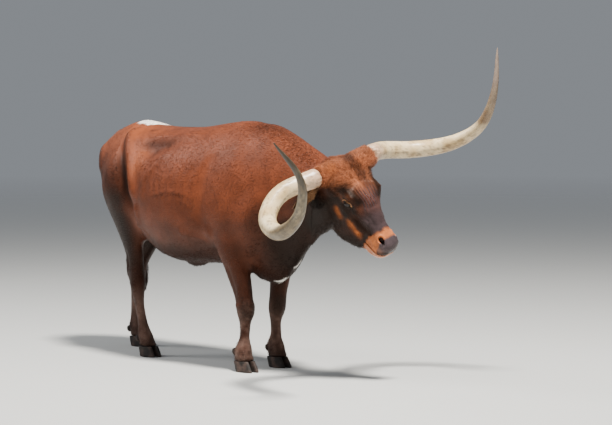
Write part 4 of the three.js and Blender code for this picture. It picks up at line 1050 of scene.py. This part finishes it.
over_hoof = (1 - rise(mid_z, 0.075, 0.100)) * (mid_z > 0.064)
LONG_HAIR_SEED = 60
# Each stretch: its blades' number, length, width, lift, stray and droop
LONG_HAIR = [
    ("poll_hair", poll_share, 7600, 0.030, 0.0022, 0.26, 0.34, 0.10),
    ("crest_hair", crest_share, 5200, 0.017, 0.0020, 0.16, 0.22, 0.10),
    ("underline_hair", under_share, 5200, 0.019, 0.0020, 0.16, 0.22, 0.25),
    ("ear_hair", ear_share, 3400, 0.020, 0.0020, 0.30, 0.35, 0.10),
    ("fetlock_hair", back_of_leg * band(mid_z, 0.10, 0.17, 0.02), 1100, 0.022, 0.0024, 0.30, 0.20, 0.2),
    ("coronet_hair", over_hoof, 1500, 0.013, 0.0022, 0.16, 0.15, 0.0),
    ("dock_hair", tail_share * in_tail, 1700, 0.030, 0.0028, 0.16, 0.18, 0.1),
]
for seed, (name, weight, number, length, width, lift, stray, droop) in enumerate(LONG_HAIR):
    rooted = roots(number, np.maximum(weight * furred, 0), draw)
    tufts(name, rooted, length, width, lift, stray, 3, LONG_HAIR_SEED + seed, 1.2, droop, 0.28)

# Switch: long dark hair from the tail's end, in loose strands that fan a little and taper away.
# The strands start at many heights round one hanging line and take the place of the solid switch.
SWITCH_LINE = np.array(
    [(-1.614, 0.196, 0.690), (-1.623, 0.240, 0.570), (-1.628, 0.254, 0.450), (-1.630, 0.262, 0.330)]
)
SWITCH_STRANDS = 1500
SWITCH_RINGS = 7
SWITCH_SPREAD = 0.046
SWITCH_DARK = paint(46, 26, 20)
draw = np.random.default_rng(33)
start = draw.uniform(0, 0.42, SWITCH_STRANDS)
end = np.clip(start + draw.uniform(0.45, 0.75, SWITCH_STRANDS), 0, 1)
angle = draw.uniform(0, 2 * math.pi, SWITCH_STRANDS)
out = np.stack([np.cos(angle), np.sin(angle), np.zeros(SWITCH_STRANDS)], axis=1)
t = np.linspace(0, 1, SWITCH_RINGS + 1)
share = start[:, None] + (end - start)[:, None] * t
line_at = np.linspace(0, 1, len(SWITCH_LINE))
core = np.stack([np.interp(share, line_at, SWITCH_LINE[:, axis]) for axis in range(3)], axis=2) + HOME
swing = draw.uniform(0.15, 1.0, SWITCH_STRANDS) ** 0.7 * SWITCH_SPREAD
reach = 0.006 + swing[:, None] * np.sin(math.pi * np.clip(share * 0.85 + 0.05, 0, 1)) * t ** 0.8
wave = 0.004 * np.sin(share * 22 + angle[:, None] * 3) * t
paths = core + out[:, None] * (reach + wave)[:, :, None]
across = np.cross(out, [0, 0, 1.0])
base = np.tile(SWITCH_DARK, (SWITCH_STRANDS, 1)) * draw.uniform(0.6, 1.7, SWITCH_STRANDS)[:, None]
tail_end = in_tail * (mid_z > 0.64) * (mid_z < 0.76) + 1e-12
tail_place = roots(SWITCH_STRANDS, tail_end, draw)[2]
widths = draw.uniform(0.002, 0.0042, SWITCH_STRANDS)
switch = blades("switch", paths, across[:, None], out[:, None], widths, base, tail_place, 1.25, 2.5)
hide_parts("tail_switch")

# Eyes: dark moist balls set deep under the brow, with a level oval pupil in a brown iris.
# Each turns its iris out of the side of the head, behind the lids of the hide.
IRIS = 0.0125
PUPIL = (0.0082, 0.0042)
EYE_DARK = paint(26, 17, 14)
IRIS_BROWN = paint(36, 20, 12)
IRIS_RIM = paint(24, 14, 11)
PUPIL_BLACK = paint(6, 6, 9)


def eye_finish():
    material, shader, add = finish("eye")
    tone = add("Attribute", attribute_name="tone")
    join(material, tone.outputs["Color"], shader.inputs["Base Color"])
    shader.inputs["Roughness"].default_value = 0.05
    shader.inputs["Specular IOR Level"].default_value = 0.32
    return material


eye_material = eye_finish()
for side, (centre, outward, forward, upward) in eye_frames.items():
    bpy.ops.object.select_all(action="DESELECT")
    bpy.ops.mesh.primitive_uv_sphere_add(segments=96, ring_count=64, radius=EYE_RADIUS)
    ball = bpy.context.object
    ball.name = f"eyeball_{side}"
    unturned = read(ball)
    sideways, upright, ahead = unturned.T
    radius = np.hypot(sideways, upright)
    colours = np.tile(EYE_DARK, (len(unturned), 1))
    front = ahead > 0
    colours = dye(colours, IRIS_BROWN, front * (1 - rise(radius, IRIS - 0.001, IRIS)))
    colours = dye(colours, IRIS_RIM, front * band(radius, IRIS - 0.0016, IRIS + 0.0006, 0.0006))
    pupil = np.hypot(sideways / PUPIL[0], upright / PUPIL[1])
    colours = dye(colours, PUPIL_BLACK, front * (1 - rise(pupil, 0.85, 1.1)))
    give_colours(ball, colours)
    turned = centre + sideways[:, None] * forward + upright[:, None] * upward + ahead[:, None] * outward
    put_points(ball, from_head(turned))
    edit(ball, bpy.ops.mesh.normals_make_consistent, inside=False)
    bpy.ops.object.shade_smooth()
    ball.data.materials.append(eye_material)
    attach(ball, "root")
    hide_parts(f"eye_{side}")

# Horns: hollow keratin sheaths on cores of bone, long and twisting, with growth rings at the root.
# Ivory with brown flecks and painted shade on the undersides, the right one turning grey green past its bend
# and the left one brown.

# The middle line of each horn in the head's frame, root to tip
HORN_LINES = {
    "right": [
        (-0.009, -0.164, -0.057),
        (-0.031, -0.403, -0.121),
        (0.074, -0.599, -0.096),
        (0.214, -0.706, 0.062),
        (0.237, -0.730, 0.300),
        (0.124, -0.756, 0.514),
        (-0.084, -0.854, 0.621),
    ],
    "left": [
        (0.016, 0.180, 0.006),
        (-0.011, 0.396, -0.125),
        (0.079, 0.592, -0.096),
        (0.176, 0.703, 0.073),
        (0.207, 0.739, 0.300),
        (0.119, 0.767, 0.502),
        (-0.059, 0.846, 0.633),
    ],
}
HORN_ROUND = 2
RING_PITCH = 0.011
RING_HIGH = 0.0009
IVORY = paint(228, 204, 160)
CREAM = paint(190, 158, 108)
FLECK = paint(92, 64, 40)
ROSE = paint(206, 168, 142)
HORN_DARK = {"right": paint(50, 43, 31), "left": paint(112, 86, 62)}
DARK_FROM = {"right": 0.40, "left": 0.56}
UPPER_SIDE = [0.3, 0.2, 0.93]
HORN_TIP = {"right": paint(46, 40, 32), "left": paint(124, 108, 98)}


def keratin_finish(name, roughness, scale, detail, grain_rough, shades, bump_high):
    """The finish of horns and hooves: a colour with a fine grain in it."""
    material, shader, add = finish(name)
    tone = add("Attribute", attribute_name="tone").outputs["Color"]
    where = add("TexCoord").outputs["Object"]
    grained = grain(add, tone, where, scale, detail, grain_rough, shades)
    join(material, grained.outputs["Color"], shader.inputs["Base Color"])
    bump = add("Bump", {"Height": grained.outputs["Height"], "Strength": 0.4, "Distance": bump_high})
    join(material, bump.outputs["Normal"], shader.inputs["Normal"])
    shader.inputs["Roughness"].default_value = roughness
    return material, shader


horn_material, horn_shader = keratin_finish("horn", 0.36, 60.0, 6.0, 0.6, (0.86, 1.1), 0.0006)
horn_shader.inputs["Subsurface Weight"].default_value = 0.06
horn_shader.inputs["Subsurface Radius"].default_value = (0.012, 0.008, 0.005)
for side, line in HORN_LINES.items():
    horn = copy_of([f"horn_{side}"], f"horn_sheath_{side}")
    apply(horn, "SUBSURF", levels=HORN_ROUND, render_levels=HORN_ROUND)
    way = from_head(line)
    at = read(horn)
    normal = read(horn, "normal")
    along = from_line(at, way)[1]
    run = along * np.linalg.norm(np.diff(way, axis=0), axis=1).sum()
    wobble = 0.004 * mottle(at, 0.08, 5)
    rings = np.sin((run + wobble) * 2 * math.pi / RING_PITCH) * (1 - rise(along, 0.10, 0.32))
    slow = mottle(at, 0.12, 6)
    put_points(horn, at + normal * (0.0008 + RING_HIGH * rings + 0.0007 * slow)[:, None])
    flecks = mottle(at, 0.018, 7) + 0.5 * mottle(at, 0.05, 8)
    colours = np.tile(IVORY, (len(at), 1))
    colours = dye(colours, CREAM, 0.75 * rise(slow, -0.5, 0.5))
    colours = dye(colours, ROSE, 0.75 * (1 - rise(along, 0.02, 0.16)))
    colours = dye(colours, FLECK, 0.6 * rise(flecks, 0.35, 0.85) * (1 - rise(along, 0.4, 0.7)))
    colours = dye(colours, FLECK, 0.30 * rise(-rings, 0.2, 0.9) * (1 - rise(along, 0.10, 0.25)))
    # Painted shade: the horn's underside, facing away from the light above, is darkened brown.
    underside_shade = rise(-(normal @ UPPER_SIDE), -0.2, 0.8)
    colours = dye(colours, FLECK, 0.55 * underside_shade * rise(flecks, -0.6, 0.6))
    # Past the bend the horn darkens, in long streaks.
    streaks = mottle(np.stack([run * 4, at[:, 2] * 0.3, normal @ [0.02, 0.01, 0.02]], axis=1), 0.02, 12)
    drift = along + 0.04 * slow
    aged = rise(drift, DARK_FROM[side], DARK_FROM[side] + 0.14) * (0.80 + 0.20 * streaks)
    colours = dye(colours, HORN_DARK[side], aged)
    colours = dye(colours, HORN_TIP[side], 0.85 * rise(drift, 0.70, 0.92))
    give_colours(horn, colours * (1 + 0.06 * flecks)[:, None])
    bpy.ops.object.shade_smooth()
    horn.data.materials.append(horn_material)
    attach(horn, "root")
    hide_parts(f"horn_{side}")

# Hooves: two claws of dark horn on each foot, ringed as they grew, and two dewclaws behind.
# Each takes its solid's shape with bevelled edges and eased walls, and its sole stays flat.
HOOF_ROUND = 2
HOOF_RING = 0.0065
HOOF_DARK = paint(34, 29, 26)

hoof_material, hoof_shader = keratin_finish("hoof", 0.62, 90.0, 5.0, 0.5, (0.75, 1.25), 0.0008)
hoof_shader.inputs["Specular IOR Level"].default_value = 0.25
for node_name in [n for n in NODES if n.startswith(("claw_", "dewclaw_"))]:
    hoof = copy_of([node_name], node_name.replace("claw", "hoof"))
    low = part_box(node_name)[0]
    edit(hoof, bpy.ops.mesh.dissolve_limited, angle_limit=math.radians(1.0))
    apply(hoof, "BEVEL", width=0.0035, segments=2, limit_method="ANGLE", angle_limit=math.radians(35))
    apply(hoof, "TRIANGULATE")
    apply(hoof, "SUBSURF", subdivision_type="SIMPLE", levels=HOOF_ROUND, render_levels=HOOF_ROUND)
    at = read(hoof)
    normal = read(hoof, "normal")
    off_ground = rise(at[:, 2], low[2] + 0.001, low[2] + 0.006)
    eased = relax(at, edges_of(hoof), (0.5 * off_ground)[:, None], 4)
    rings = np.sin(at[:, 2] * 2 * math.pi / HOOF_RING + 3 * mottle(at, 0.06, 9))
    wall = rise(np.linalg.norm(normal[:, :2], axis=1), 0.5, 0.8)
    put_points(hoof, eased + normal * (0.00035 * rings * wall)[:, None])
    colours = np.tile(HOOF_DARK, (len(at), 1))
    colours = dye(colours, DUST, 0.35 * rise(mottle(at, 0.05, 10), -0.3, 0.8))
    give_colours(hoof, colours * (1 + 0.12 * rings)[:, None])
    bpy.ops.object.shade_smooth_by_angle(angle=math.radians(40))
    hoof.data.materials.append(hoof_material)
    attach(hoof, "root")
    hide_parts(node_name)

# Camera: a little above the back's height, ahead of the animal and on its right.
# Its lens, place and way are those at which the solids cover the animal of the picture.
LENS = 140.8
FILM = 36
STAND = np.array([11.2394, -8.0635, 1.58])
YAW = 53.2
PITCH = 2.786
camera_data = bpy.data.cameras.new("camera")
camera_data.lens = LENS
camera_data.sensor_width = FILM
camera_data.clip_end = 200
camera = bpy.data.objects.new("camera", camera_data)
bpy.context.collection.objects.link(camera)
camera.location = STAND + HOME
camera.rotation_euler = (math.radians(90 - PITCH), 0, math.radians(YAW))
bpy.context.scene.camera = camera

# Floor and light: a plain pale floor under a strong lamp high overhead, a little ahead.
# A wide weak lamp fills in from the camera's side and another lights the back.
bpy.ops.object.select_all(action="DESELECT")
bpy.ops.mesh.primitive_plane_add(size=80, location=(0, 0, 0))
floor = bpy.context.object
floor.name = "floor"
# The floor fades out far away, so that no edge of it shows.
floor_material, floor_shader, add = finish("pale floor")
floor_shader.inputs["Base Color"].default_value = (0.56, 0.56, 0.54, 1)
floor_shader.inputs["Roughness"].default_value = 0.9
reach = add("VectorMath", {0: add("TexCoord").outputs["Object"]}, operation="LENGTH")
fade = add("MapRange", {"Value": reach.outputs["Value"], "From Min": 7.0, "From Max": 34.0})
blend = add("MixShader", {0: fade.outputs["Result"], 1: floor_shader.outputs["BSDF"]})
join(floor_material, add("BsdfTransparent").outputs["BSDF"], blend.inputs[2])
floor_output = floor_material.node_tree.nodes["Material Output"]
join(floor_material, blend.outputs["Shader"], floor_output.inputs["Surface"])
floor.data.materials.append(floor_material)

LAMP_AIM = Vector((0, 0, 0.9))


def lamp(name, at, size, power, colour=(1, 1, 1)):
    light = bpy.data.lights.new(name, "AREA")
    light.shape = "DISK"
    light.size = size
    light.energy = power
    light.color = colour
    obj = bpy.data.objects.new(name, light)
    obj.location = at
    obj.rotation_euler = (LAMP_AIM - obj.location).to_track_quat("-Z", "Y").to_euler()
    bpy.context.collection.objects.link(obj)


lamp("key", (3.2, -0.8, 8.6), 1.5, 2400, (1.0, 0.97, 0.92))
lamp("fill", (6.0, -9.0, 3.5), 6.0, 110, (0.92, 0.96, 1.0))
lamp("back", (-6.0, -4.0, 6.5), 3.5, 420)
world = bpy.data.worlds.new("studio")
world.use_nodes = True
world.node_tree.nodes["Background"].inputs["Color"].default_value = (0.86, 0.92, 1, 1)
world.node_tree.nodes["Background"].inputs["Strength"].default_value = 0.28
bpy.context.scene.world = world
